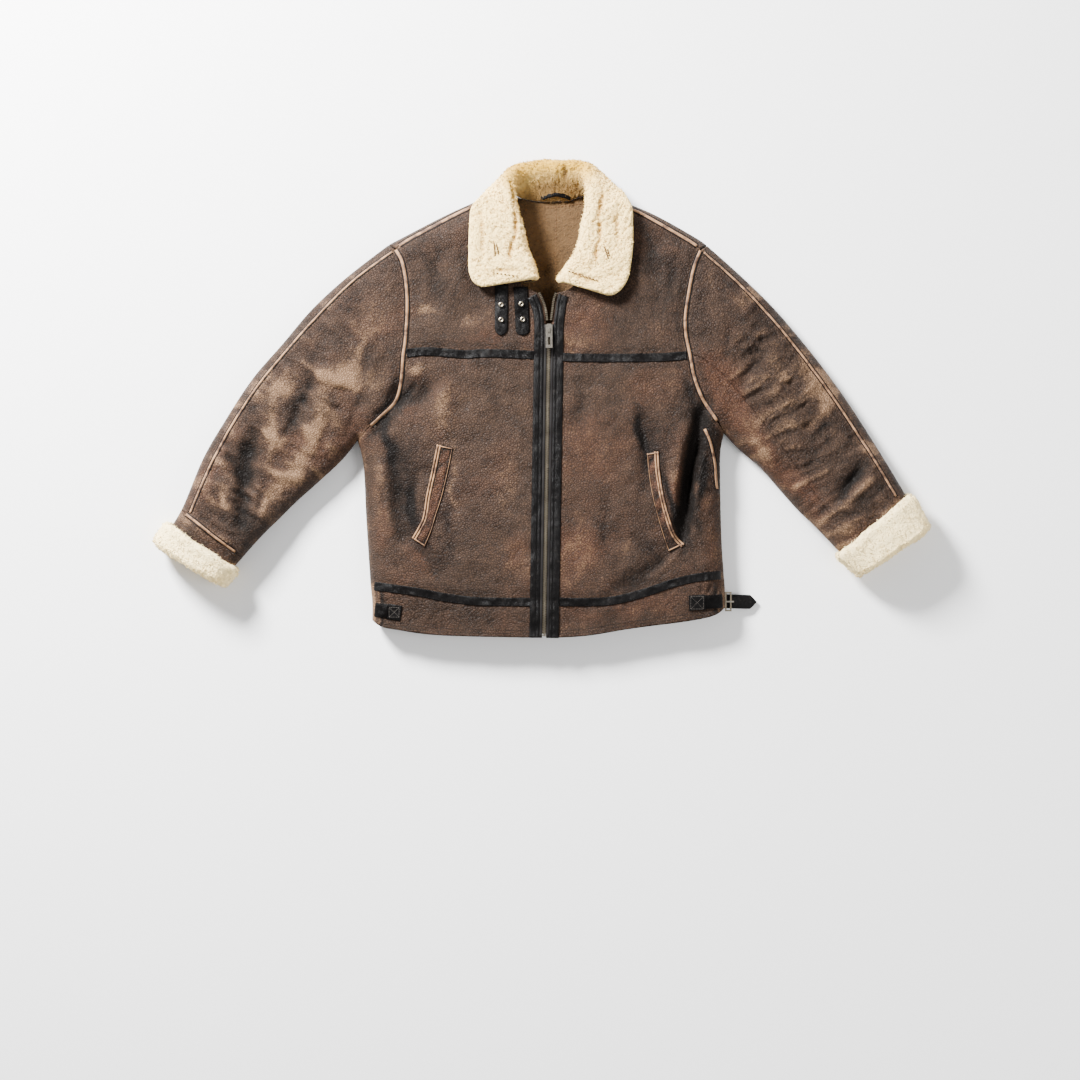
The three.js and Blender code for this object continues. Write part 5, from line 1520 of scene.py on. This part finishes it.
def add_locks(name, points, normals, count, seed, pile, values=None):
    """Curled ends of the fleece: tapering three-sided locks that lean over, on points picked at even
    chance from a surface, each with that point's values."""
    long, thick = 4.6, 1.5
    pick = np.random.default_rng(seed)
    chosen = pick.integers(0, len(points), count)
    at, up = points[chosen], unit(normals[chosen])
    side = unit(np.cross(up, unit(pick.normal(size=(count, 3)))))
    third = np.cross(up, side)
    grown = pick.uniform(0.65, 1.25, count)[:, None, None]
    rings = []
    for step, girth in ((0.0, 1.0), (0.4, 0.95), (0.75, 0.6), (1.0, 0.12)):
        lean = 0.75 * step**2
        for corner in range(3):
            angle = corner * 2 * math.pi / 3
            rings.append((
                lean * long + math.cos(angle) * thick * girth / 2,
                math.sin(angle) * thick * girth / 2,
                long * (step - 0.35 * step**2) - 1.0,
            ))
    shape = np.array(rings)
    frames = np.stack([side, third, up], 1) * grown
    faces = []
    for ring in range(3):
        for corner in range(3):
            a, b = ring * 3 + corner, ring * 3 + (corner + 1) % 3
            faces.append((a, b, b + 3, a + 3))
    faces += [(2, 1, 0), (9, 10, 11)]
    taken = {key: np.repeat(numbers[chosen], len(shape)) for key, numbers in (values or {}).items()}
    piece = add_copies(name, shape, faces, at, frames, [material(pile)], taken)


def crown(c, power=3, fall=0.35):
    """A strip's height across, c from -1 to 1: full along the middle, less by fall at both edges."""
    return 1 - fall * np.abs(c) ** power


def add_laid(name, plan, body, finishes, node, slot, lift=0.0, sag=0.6, surface=top_at, values=None):
    """A closed piece that lies on a surface: a plan grid (n, m, 2) and its thickness at each point. It
    takes the place of a node of the solids, if it has one."""
    z = surface(plan) + lift
    top = np.concatenate([plan, (z + body)[..., None]], -1)
    low = np.concatenate([plan, (z - sag)[..., None]], -1)
    materials = [material(key) for key in finishes]
    piece = add_wall(name, top, low, low * 0.4 + top * 0.6, materials, values=values)
    if node:
        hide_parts(node)
    note_flat_size(name, top)


def as_curve(line):
    """A line of few points made smooth. A line of many is one already."""
    return smooth(line, 8) if len(line) < 24 else np.asarray(line)


def add_band(
    name, line, width, high, finishes, node, slot, step=3.0, across=8, tip=None, wrinkle=0.0,
    profile=crown, values=None, pointed=False, **more
):
    """A strip carried along a line: its columns cross the width, and profile gives its height there.
    tip is the length over which its end narrows, to a round or, where pointed, to a point."""
    curve = as_curve(line)
    length = length_of(curve)
    t = shares(max(4, int(round(length / step))))
    c = 2 * shares(across) - 1
    half = np.full(len(t), width / 2)
    if tip:
        left = np.clip((1 - t) * length / tip, 0, 1)
        half = half * np.maximum(left**0.8 if pointed else np.sqrt(left * (2 - left)), 0.12)
    side = leftward(heading(curve, t))
    plan = along(curve, t)[:, None] + side[:, None] * (half[:, None] * c[None, :])[..., None]
    place = np.column_stack([np.repeat(t * length, len(c)), np.tile(c * width, len(t))])
    puckers = noise(place, 5, 61, (1, 3)).reshape(plan.shape[:2])
    body = high * profile(c)[None, :] + wrinkle * puckers
    spread_out = {key: np.broadcast_to(number(c), body.shape) for key, number in (values or {}).items()}
    add_laid(name, plan, body, finishes, node, slot, values=spread_out, **more)


def stitch_row(line, off, pitch, surface, start=0.0, stop=1.0):
    """Origins and frames of stitches along a line, off to its side: x along the seam, y across, z out."""
    curve = as_curve(line)
    count = max(2, int(length_of(curve) * (stop - start) / pitch))
    t = start + (stop - start) * (np.arange(count) + 0.5) / count
    way = heading(curve, t)
    side = leftward(way)
    plan = along(curve, t) + side * off
    ahead, behind = plan + way * pitch * 0.4, plan - way * pitch * 0.4
    rise = (surface(ahead) - surface(behind)) / (0.8 * pitch)
    x = unit(np.column_stack([way, rise]))
    y = unit(np.column_stack([side, np.zeros(count)]))
    z = np.cross(x, y)
    return np.column_stack([plan, surface(plan)]), np.stack([x, y, z], 1)


def lap(share):
    """The profile of a lapped strip: a rounded crown over a share of the width and low channels."""
    return lambda c: 0.15 + 0.85 * np.sqrt(np.clip(1 - (c / share) ** 2, 0, 1))


def channels(share):
    """1 in a lapped strip's two stitch channels, beside a crown that takes a share of the width."""
    return lambda c: ramp(np.abs(c), share - 0.1, share + 0.1)


def stitch_shape(long, thick):
    """A short thread: a low arch of four-sided rings, sunk at both ends."""
    rings = []
    for x, z, girth in ((-0.5, -0.5, 0.5), (-0.28, 0.25, 1), (0.28, 0.25, 1), (0.5, -0.5, 0.5)):
        for y, dz in ((-0.5, 0), (0, 0.5), (0.5, 0), (0, -0.5)):
            rings.append((x * long, y * thick * girth, (z + dz * girth) * thick))
    faces = [
        (ring * 4 + k, ring * 4 + (k + 1) % 4, ring * 4 + 4 + (k + 1) % 4, ring * 4 + 4 + k)
        for ring in range(3)
        for k in range(4)
    ]
    return np.array(rings), faces + [(3, 2, 1, 0), (12, 13, 14, 15)]


def add_stitches(name, rows, long, thick, thread):
    origins = np.vstack([row[0] for row in rows])
    frames = np.concatenate([row[1] for row in rows])
    shape, faces = stitch_shape(long, thick)
    piece = add_copies(name, shape, faces, origins, frames, [material(thread)])


def raised(amount):
    """A surface a little above the front."""
    return lambda plan: top_at(plan) + amount


def front_edges(side):
    """A front's edge below and above the height where the teeth part, and all of it."""
    found = LINES[side]
    edge = np.vstack([found["hem"][-1], found["waist"][-1], found["front"]])
    return edge[edge[:, 1] < TEETH_FROM], edge[edge[:, 1] > TEETH_FROM], edge


def spaced(line, count=40):
    return along(np.asarray(line, float), shares(count))


# Settings

class JacketSizes(bpy.types.PropertyGroup):
    """Sizes that can be changed before the jacket is made."""

    stitch_pitch: bpy.props.FloatProperty(
        name="Stitch pitch", description="From one stitch to the next", default=4.2 * MM,
        unit="LENGTH", min=0.002, max=0.01,
    )
    tape_width: bpy.props.FloatProperty(
        name="Tape", description="Width of the black tapes", default=14.5 * MM,
        unit="LENGTH", min=0.008, max=0.03,
    )
    placket_width: bpy.props.FloatProperty(
        name="Placket", description="Width of the black edge along the zip", default=17 * MM,
        unit="LENGTH", min=0.01, max=0.03,
    )
    locks: bpy.props.IntProperty(
        name="Locks of wool", description="Curled ends of fleece on the collar", default=3800,
        min=0, max=12000,
    )


def colour_setting(name, description, default):
    return bpy.props.StringProperty(name=name, description=description, default=default)


class JacketColours(bpy.types.PropertyGroup):
    """Colours as sRGB hex values."""

    # hide_stain_and_shade and hide_dark are also the painted shade in troughs, grooves, stitch channels and
    # beside seams and pockets
    hide_stain_and_shade: colour_setting("Hide, stain", "Thickest dye, in pits and folds", "#0a0604")
    hide_dark: colour_setting("Hide, dark", "Thick dye", "#211812")
    hide_brown: colour_setting("Hide, brown", "Middle of the dye", "#392b22")
    hide_warm: colour_setting("Hide, warm", "Thinned red-brown dye", "#432c20")
    hide_pale: colour_setting("Hide, pale", "Rubbed through to the skin", "#785d46")
    strip_pale: colour_setting("Strip, pale", "Crown of a seam strip", "#86664b")
    strip_brown: colour_setting("Strip, brown", "Dyed part of a seam strip", "#46342a")
    black: colour_setting("Black hide", "Tapes, plackets and straps", "#050404")
    black_worn: colour_setting("Black hide, worn", "Where it is rubbed", "#0d0b0a")
    black_scuffed: colour_setting("Black hide, scuffed", "Where straps are rubbed", "#1b1816")
    pile_light: colour_setting("Collar, light", "Tips of the wool", "#fddb8e")
    # The deep colours of collar, cuffs and lining are the roots' colour and also painted shade between the
    # curls
    pile_deep: colour_setting("Collar, deep", "Roots of the wool", "#b58c4a")
    pile_gold: colour_setting("Collar, gold", "Stain at the neck", "#b98f2c")
    # pile_neck_shade: painted shade at the foot of the collar's stand, inside the neck
    pile_neck_shade: colour_setting("Wool, brown", "Foot of the collar's stand", "#6c522c")
    cuff_light: colour_setting("Cuff, light", "Tips of the cuffs' wool", "#ffe7ac")
    cuff_deep: colour_setting("Cuff, deep", "Roots of the cuffs' wool", "#dcc48c")
    lining_light: colour_setting("Lining, light", "Tips of the wool inside", "#543f28")
    lining_deep: colour_setting("Lining, deep", "Roots of the wool inside", "#241a0e")
    steel: colour_setting("Nickel", "Slider, buckle and eyelets", "#8d877d")
    teeth: colour_setting("Zip teeth", "Antiqued metal", "#7d7465")
    thread: colour_setting("Thread", "On black and on seams", "#0a0808")
    grey_thread: colour_setting("Grey thread", "On the side straps", "#4a4541")
    brown_thread: colour_setting("Brown thread", "On the collar and the lining", "#5d4026")
    zip_tape: colour_setting("Zip tape", "Woven tape", "#0e0b0a")
    floor: colour_setting("Floor", "Board under the jacket", "#f4f4f4")


# Operators

class JACKET_OT_stage(bpy.types.Operator):
    """Camera straight above the photograph's middle, pale floor and soft lights"""

    bl_idname = "jacket.stage"
    bl_label = "Stage"

    def execute(self, context):
        scene = context.scene
        camera_data = bpy.data.cameras.new("camera")
        camera_data.lens = 80
        camera_data.sensor_width = 36
        camera = bpy.data.objects.new("camera", camera_data)
        scene.collection.objects.link(camera)
        x, y = PICTURE_MIDDLE[0] * MM, PICTURE_MIDDLE[1] * MM
        camera_height, floor_half, floor_z = 4.11, 6.0, -0.0005
        camera.location = (x, y, camera_height)
        scene.camera = camera
        mesh = bpy.data.meshes.new("floor")
        corners = [
            (x + across * floor_half, y + up * floor_half, floor_z)
            for across, up in ((-1, -1), (1, -1), (1, 1), (-1, 1))
        ]
        mesh.from_pydata(corners, [], [(0, 1, 2, 3)])
        mesh.materials.append(material("floor"))
        board = bpy.data.objects.new("floor", mesh)
        scene.collection.objects.link(board)
        world = bpy.data.worlds.new("studio")
        world.use_nodes = True
        sky = world.node_tree.nodes["Background"].inputs
        sky["Color"].default_value = (1, 1, 1, 1)
        sky["Strength"].default_value = 0.62
        scene.world = world
        lamps = (
            ("key", (-1.9, 2.1, 1.7), 0.8, 900),
            ("fill", (1.9, -0.8, 2.4), 1.6, 60),
        )
        for name, place, size, power in lamps:
            data = bpy.data.lights.new(name, "AREA")
            data.size = size
            data.energy = power
            lamp = bpy.data.objects.new(name, data)
            lamp.location = place
            toward = -np.array([place[0], place[1] + 0.1, place[2]])
            pitch = math.atan2(math.hypot(toward[0], toward[1]), -toward[2])
            lamp.rotation_euler = (pitch, 0, math.atan2(-toward[0], toward[1]))
            scene.collection.objects.link(lamp)
        return {"FINISHED"}


class JACKET_OT_fronts(bpy.types.Operator):
    """Both fronts: yoke, body, hem band and shoulder turn of hide"""

    bl_idname = "jacket.fronts"
    bl_label = "Fronts"

    def execute(self, context):
        for side in ("right", "left"):
            add_front(side)
        return {"FINISHED"}


class JACKET_OT_back(bpy.types.Operator):
    """The back, with the tan pile of its inner face"""

    bl_idname = "jacket.back"
    bl_label = "Back"

    def execute(self, context):
        add_back()
        return {"FINISHED"}


class JACKET_OT_sleeves(bpy.types.Operator):
    """Both sleeves and the band at the right one's end"""

    bl_idname = "jacket.sleeves"
    bl_label = "Sleeves"

    def execute(self, context):
        for side in ("right", "left"):
            add_sleeve(side)
        add_cuff_band()
        return {"FINISHED"}


class JACKET_OT_wool(bpy.types.Operator):
    """Collar and turned-back cuffs of clipped wool, with curled locks standing out of them"""

    bl_idname = "jacket.wool"
    bl_label = "Wool"

    def execute(self, context):
        count = context.scene.jacket_sizes.locks
        outer, normals, rim, values = add_collar()
        standing = (rim > 1.5).ravel() & (outer[..., 2] > 8).ravel()
        add_locks(
            "collar_locks", outer.reshape(-1, 3)[standing], normals.reshape(-1, 3)[standing], count, 7,
            "pile", {key: numbers.ravel()[standing] for key, numbers in values.items()},
        )
        for side, seed in (("right", 17), ("left", 18)):
            rings, out, shown = add_cuff_pile(side)
            keep = np.broadcast_to(shown > 0, rings.shape[:2]) & (rings[..., 2] > 6)
            add_locks(f"{side}_cuff_locks", rings[keep], out[keep], count // 3, seed, "cuff_pile")
        return {"FINISHED"}


class JACKET_OT_strips(bpy.types.Operator):
    """Light lapped strips over the shoulder, armhole, overarm, cuff and side seams"""

    bl_idname = "jacket.strips"
    bl_label = "Seam strips"

    def execute(self, context):
        for name, line in STRIPS.items():
            width, share = STRIP_SIZES[name.split("_")[1]]
            add_band(
                f"{name}_lap", line, width, 2.0, ("strip", "strip"), name, "worn_leather", across=14,
                wrinkle=0.2, profile=lap(share), values={"channel": channels(share)},
            )
        return {"FINISHED"}


class JACKET_OT_tapes(bpy.types.Operator):
    """Black tapes over the chest seam and above the hem"""

    bl_idname = "jacket.tapes"
    bl_label = "Tapes"

    def execute(self, context):
        width = context.scene.jacket_sizes.tape_width / MM
        for name, line in TAPES.items():
            add_band(
                f"{name}_leather", line, width, 1.7, ("worn_black", "black"), name, "black_leather",
                step=1.8, across=12, wrinkle=0.7,
            )
        return {"FINISHED"}


class JACKET_OT_pockets(bpy.types.Operator):
    """Slanted pockets: a crumpled welt, two pipings on its edge and a bar over each end"""

    bl_idname = "jacket.pockets"
    bl_label = "Pockets"

    def execute(self, context):
        for side, lines in POCKETS.items():
            add_welt(side, smooth(lines["front"], 8), smooth(lines["side"], 8))
        return {"FINISHED"}


def add_welt(side, front, edge):
    """The welt is ruled between its two edges, sinks to grooves along them and at its ends, and is
    crumpled on the slant between. The pipings are carried along the outer edge."""
    t, v = shares(90), shares(26)
    plan = along(front, t)[:, None] * (1 - v)[None, :, None] + along(edge, t)[:, None] * v[None, :, None]
    p = plan.reshape(-1, 2)
    slanted = np.column_stack([p[:, 0] - 0.7 * p[:, 1], p[:, 1] + 0.3 * p[:, 0]])
    crumple = noise(slanted, 11, 91, (1, 2.2)).reshape(plan.shape[:2])
    ends = np.minimum(t, 1 - t)[:, None] * length_of(edge)
    inside = ramp(v, 0.03, 0.16) * (1 - ramp(v, 0.62, 0.7)) * ramp(ends, 2, 7)
    # Painted shade: dark along the grooves at the welt's edges and ends and in the crumple's troughs; the
    # crests paler
    stain_and_shade = 1.5 * (1 - inside) + 1.1 * np.clip(-crumple, 0, 1) * inside
    name = f"{side}_pocket_welt"
    add_laid(
        f"{name}_hide", plan, 0.5 + (1.3 + 1.1 * crumple) * inside, ("hide", "hide"), name, "leather",
        values={"stain_and_shade": stain_and_shade, "warm": np.full(stain_and_shade.shape, 0.6), "pale": 0.35 * np.clip(crumple, 0, 1)},
    )

    def add_trim(part, line, width, high, share, lift, channel, **more):
        """A narrow folded strip whose crown takes a share of its width."""
        add_band(
            f"{name}_{part}", line, width, high, ("strip", "strip"), None, "worn_leather",
            profile=lap(share), lift=lift, values={"channel": channel}, **more,
        )

    inward = 1 if side == "right" else -1
    for place, off, high in (("outer", 2.0, 2.6), ("inner", 6.4, 2.0)):
        add_trim(
            f"piping_{place}", shifted(edge, off * inward), 5.0, high, 0.62, 0.6, channels(0.62),
            step=2, across=10, wrinkle=0.2,
        )
    # Painted shade: the front edge's strip is dark nearly all across, as the groove along the pocket's front
    # line
    add_trim(
        "front_edge", shifted(front, 0.8 * -inward), 3.6, 1.6, 0.5, 0.4,
        lambda c: 0.35 + 0.65 * channels(0.4)(c), step=2,
    )
    # Painted shade in the bars' stitch channels
    for place, share in (("top", 0.012), ("bottom", 0.988)):
        bar = np.vstack([along(front, [share]), along(edge, [share])])
        add_trim(
            f"{place}_bar", spaced(bar, 30), 5.0, 1.8, 0.55, 0.9,
            lambda c: 0.15 + 0.85 * channels(0.5)(c), step=1.5,
        )


class JACKET_OT_straps(bpy.types.Operator):
    """Collar straps, side straps with their stitched patches, strap end and hanger loop"""

    bl_idname = "jacket.straps"
    bl_label = "Straps"

    def execute(self, context):
        for name, strap in COLLAR_STRAPS.items():
            add_band(
                f"{name}_leather", strap["line"], strap["width"], 2.4, (strap["finish"], "black"), name,
                "black_leather", step=2, across=14, wrinkle=0.3, tip=strap["tip"],
            )
        for name, lines in SIDE_PATCHES.items():
            add_band(
                f"{name}_leather", spaced(lines["patch"], 30), 26, 2.4, ("worn_black", "black"), name,
                "black_leather", step=1.5, across=16, wrinkle=0.35,
            )
            add_band(
                f"{name}_strap", spaced(lines["strap"], 30), 23, 3.2, ("black", "black"), None,
                "black_leather", step=1.5, across=14, wrinkle=0.35,
            )
        add_tongue()
        add_hanger_loop()
        return {"FINISHED"}


def add_tongue():
    """The side strap's end: it comes out under the buckle and sinks to the floor, narrowing to a point."""
    x0, x1 = (corner[0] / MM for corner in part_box("side_strap_end"))

    def surface(plan):
        return 11.8 - 8 * np.clip((plan[..., 0] - x0) / (x1 - x0), 0, 1)

    add_band(
        "side_strap_end_leather", ((x0 - 14, -342.5), (334, -343.5), (x1, -344)), 24, 2.4,
        ("worn_black", "black"), "side_strap_end", "black_leather", step=1.5, across=14, tip=11,
        pointed=True, wrinkle=0.3, surface=surface, sag=0,
    )


def add_hanger_loop():
    """The hanger loop: a narrow strap whose middle stands off the neck."""
    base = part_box("hanger_loop")[0][2] / MM

    def surface(plan):
        return base + 5 * np.sin(np.pi * np.clip((plan[..., 0] + 11) / 56, 0, 1))

    add_band(
        "hanger_loop_leather", HANGER_LOOP, 7.5, 2.6, ("black", "black"), "hanger_loop",
        "black_leather", step=1.5, wrinkle=0.15, surface=surface, sag=0,
    )


class JACKET_OT_zip(bpy.types.Operator):
    """The zip: black plackets, woven tapes, interlocked teeth below the slider and two rows above"""

    bl_idname = "jacket.zip"
    bl_label = "Zip"

    def execute(self, context):
        width = context.scene.jacket_sizes.placket_width / MM
        for side, out in (("right", 1), ("left", -1)):
            lower, upper, edge = front_edges(side)
            middle = shifted(spaced(edge, 160), FROM_EDGE["placket"] * out)
            add_band(
                f"{side}_placket_leather", middle, width, 2.2, ("worn_black", "black"),
                f"{side}_placket", "black_leather", across=18, wrinkle=0.4,
                profile=lambda c: crown(c, 4, 0.5) - 0.5 * bell(c * out + 0.3, 0.14),
            )
            add_band(
                f"{side}_zip_tape_cloth", shifted(spaced(lower, 120), FROM_EDGE["tape"] * out), 4.2, 1.0,
                ("zip_cloth", "zip_cloth"), f"{side}_zip_tape", "zip_tape", step=6, across=4,
                profile=np.ones_like,
            )
            row = shifted(spaced(upper, 40), FROM_EDGE["teeth"] * out)
            add_teeth(f"{side}_teeth_row", row, [0.0], 0.4)
        add_teeth("zip_chain", smooth(ZIP_LINE, 8), [-1.2, 1.2], -0.6)
        return {"FINISHED"}


def add_teeth(node, line, sides, lift):
    """Zip teeth in place of a node: small blocks with sloped tops, one row for each sideways offset,
    and the second row half a pitch on so that they lock between the first."""
    pitch, wide, long, high = (TOOTH[key] for key in ("pitch", "wide", "long", "high"))
    shape = []
    faces = [(3, 2, 1, 0), (4, 5, 6, 7)]
    for scale, z in ((1.0, -1.2), (0.72, 1.0)):
        for x, y in ((-0.5, -0.5), (0.5, -0.5), (0.5, 0.5), (-0.5, 0.5)):
            shape.append((x * long * scale, y * wide * scale, z * high / 2 + high / 2 - 0.4))
    faces += [(k, (k + 1) % 4, 4 + (k + 1) % 4, 4 + k) for k in range(4)]
    rows = []
    for k, off in enumerate(sides):
        half = k * pitch / 2 / length_of(line)
        rows.append(stitch_row(line, off, pitch, raised(lift), half, 1 - (0.5 - k / 2) * 0.004))
    origins = np.vstack([row[0] for row in rows])
    frames = np.concatenate([row[1] for row in rows])
    piece = add_copies(f"{node}_teeth", np.array(shape), faces, origins, frames, [material("teeth")])
    piece.data.polygons.foreach_set("use_smooth", np.zeros(len(piece.data.polygons), bool))
    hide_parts(node)


class JACKET_OT_stitching(bpy.types.Operator):
    """Rows of stitches on tapes, plackets, strips, straps, patches and along the hem"""

    bl_idname = "jacket.stitching"
    bl_label = "Stitching"

    def execute(self, context):
        pitch = context.scene.jacket_sizes.stitch_pitch / MM
        tapes = [
            stitch_row(line, off, pitch, raised(1.35))
            for line in TAPES.values()
            for off in (-5.6, 5.6)
        ]
        for side, out in (("right", 1), ("left", -1)):
            edge = spaced(front_edges(side)[2], 160)
            for off in (4.8, 9.0, 18.4):
                tapes.append(stitch_row(shifted(edge, off * out), 0, pitch, raised(1.5)))
        add_stitches("tape_stitches", tapes, 2.9, 0.7, "thread")
        laps = []
        for name, line in STRIPS.items():
            width, share = STRIP_SIZES[name.split("_")[1]]
            off = width / 4 * (1 + share)
            laps += [stitch_row(line, off, pitch, raised(0.4)), stitch_row(line, -off, pitch, raised(0.4))]
        add_stitches("seam_stitches", laps, 2.9, 0.8, "thread")
        straps = []
        for strap in COLLAR_STRAPS.values():
            for off in (-strap["width"] / 2 + 2.4, strap["width"] / 2 - 2.4):
                straps.append(stitch_row(strap["line"], off, pitch, raised(2.2), 0.0, 0.86))
        add_stitches("strap_stitches", straps, 2.6, 0.6, "thread")
        patches = []
        for lines in SIDE_PATCHES.values():
            (x0, y0), (x1, y1) = lines["patch"]
            low, high = (x0 + 3, y0 - 10), (x1 - 3, y1 + 10)
            corners = (low, (high[0], low[1]), high, (low[0], high[1]), low, high)
            for a, b in [*zip(corners, corners[1:]), ((high[0], low[1]), (low[0], high[1]))]:
                patches.append(stitch_row(spaced((a, b), 30), 0, 2.6, raised(2.3)))
        add_stitches("patch_stitches", patches, 2.0, 0.7, "grey_thread")
        hem = []
        for side, way in (("right", 1), ("left", -1)):
            for off in (6.5, 12.5):
                line = shifted(LINES[side]["hem"], off * way)
                hem.append(stitch_row(line, 0, pitch, raised(0.1), 0.03, 0.93))
        add_stitches("hem_stitches", hem, 2.9, 0.8, "thread")
        seams = [stitch_row(spaced(line, 40), 0, 6.0, lining_at) for line in LINING_SEAMS]
        add_stitches("lining_stitches", seams, 3.6, 1.0, "brown_thread")
        wool = bpy.data.objects["collar_wool"].data
        points = np.zeros(len(wool.vertices) * 3)
        wool.vertices.foreach_get("co", points)
        points = points.reshape(-1, 3) / MM

        def on_collar(plan):
            away = np.hypot(*(plan[:, None] - points[None, :, :2]).transpose(2, 0, 1))
            return np.where(away < 4, points[:, 2], -np.inf).max(1)

        marks = [stitch_row(spaced(line, 30), 0, gap, on_collar) for *line, gap in COLLAR_STITCHES]
        add_stitches("collar_stitches", marks, 3.8, 2.1, "brown_thread")
        return {"FINISHED"}


def lining_at(plan):
    """Heights of the back's inner face at plan points."""
    flat = plan.reshape(-1, 2)
    return (main_under(flat, edge_distance(flat)) + WALL + 0.8).reshape(plan.shape[:-1])


class JACKET_OT_metal(bpy.types.Operator):
    """Finishes of the solids that stay: slider, pull, eyelets, buckle and prong"""

    bl_idname = "jacket.metal"
    bl_label = "Metal"

    def execute(self, context):
        for name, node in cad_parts.items():
            if node.hide_render:
                continue
            node.data.materials.clear()
            finish = "teeth" if name.startswith(("eyelet", "side")) else "steel"
            node.data.materials.append(material(finish))
        return {"FINISHED"}


class JACKET_OT_cloth(bpy.types.Operator):
    """Gathers which trims go with each soft piece and goes over the pieces' flat sizes, doing nothing with
    them
    """

    bl_idname = "jacket.cloth"
    bl_label = "Cloth facts"

    def execute(self, context):
        def welt_trims(side):
            parts = ("piping_outer", "piping_inner", "front_edge", "top_bar", "bottom_bar")
            return [f"{side}_pocket_welt_{part}" for part in parts]

        trims = {
            "right_front_yoke_hide": [
                "right_shoulder_strip_lap", "right_armhole_strip_lap", "seam_stitches",
            ],
            "left_front_yoke_hide": ["left_shoulder_strip_lap", "left_armhole_strip_lap"],
            "right_front_body_hide": welt_trims("right"),
            "left_front_body_hide": [*welt_trims("left"), "left_side_strip_lap"],
            "right_front_hem_hide": ["hem_stitches"],
            "right_sleeve_back_hide": ["right_sleeve_strip_lap"],
            "left_sleeve_back_hide": ["left_sleeve_strip_lap"],
            "right_cuff_band_hide": ["right_cuff_strip_lap"],
            "right_placket_leather": ["tape_stitches", "right_zip_tape_cloth"],
            "left_placket_leather": ["left_zip_tape_cloth"],
            "collar_wool": ["collar_locks", "collar_stitches", "hanger_loop_leather"],
            "back_hide": ["lining_stitches"],
            "right_side_patch_leather": ["patch_stitches"],
            "right_cuff_wool": ["right_cuff_locks"],
            "left_cuff_wool": ["left_cuff_locks"],
            "collar_strap_a_leather": ["strap_stitches"],
        }
        goes_with = {name for names in trims.values() for name in names}
        for name, (width, length, area) in FLAT_SIZES.items():
            if name in goes_with:
                continue
        return {"FINISHED"}


class JACKET_PT_panel(bpy.types.Panel):
    """Sizes, colours and the steps that make the jacket"""

    bl_label = "Flight jacket"
    bl_idname = "JACKET_PT_panel"
    bl_space_type = "VIEW_3D"
    bl_region_type = "UI"
    bl_category = "Jacket"

    def draw(self, context):
        layout = self.layout
        for group in (context.scene.jacket_sizes, context.scene.jacket_colours):
            for name in group.bl_rna.properties.keys():
                if name not in ("rna_type", "name"):
                    layout.prop(group, name)
        for operator in OPERATORS:
            layout.operator(operator.bl_idname)


OPERATORS = (
    JACKET_OT_stage,
    JACKET_OT_fronts,
    JACKET_OT_back,
    JACKET_OT_sleeves,
    JACKET_OT_wool,
    JACKET_OT_strips,
    JACKET_OT_tapes,
    JACKET_OT_pockets,
    JACKET_OT_straps,
    JACKET_OT_zip,
    JACKET_OT_stitching,
    JACKET_OT_metal,
    JACKET_OT_cloth,
)
CLASSES = (JacketSizes, JacketColours, *OPERATORS, JACKET_PT_panel)


def register():
    for cls in CLASSES:
        bpy.utils.register_class(cls)
    bpy.types.Scene.jacket_sizes = bpy.props.PointerProperty(type=JacketSizes)
    bpy.types.Scene.jacket_colours = bpy.props.PointerProperty(type=JacketColours)


def unregister():
    del bpy.types.Scene.jacket_colours
    del bpy.types.Scene.jacket_sizes
    for cls in reversed(CLASSES):
        bpy.utils.unregister_class(cls)


def main():
    """Registers the add-on and makes every piece in order."""
    register()
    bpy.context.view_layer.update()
    for operator in OPERATORS:
        group, name = operator.bl_idname.split(".")
        getattr(getattr(bpy.ops, group), name)()


if __name__ == "__main__":
    main()
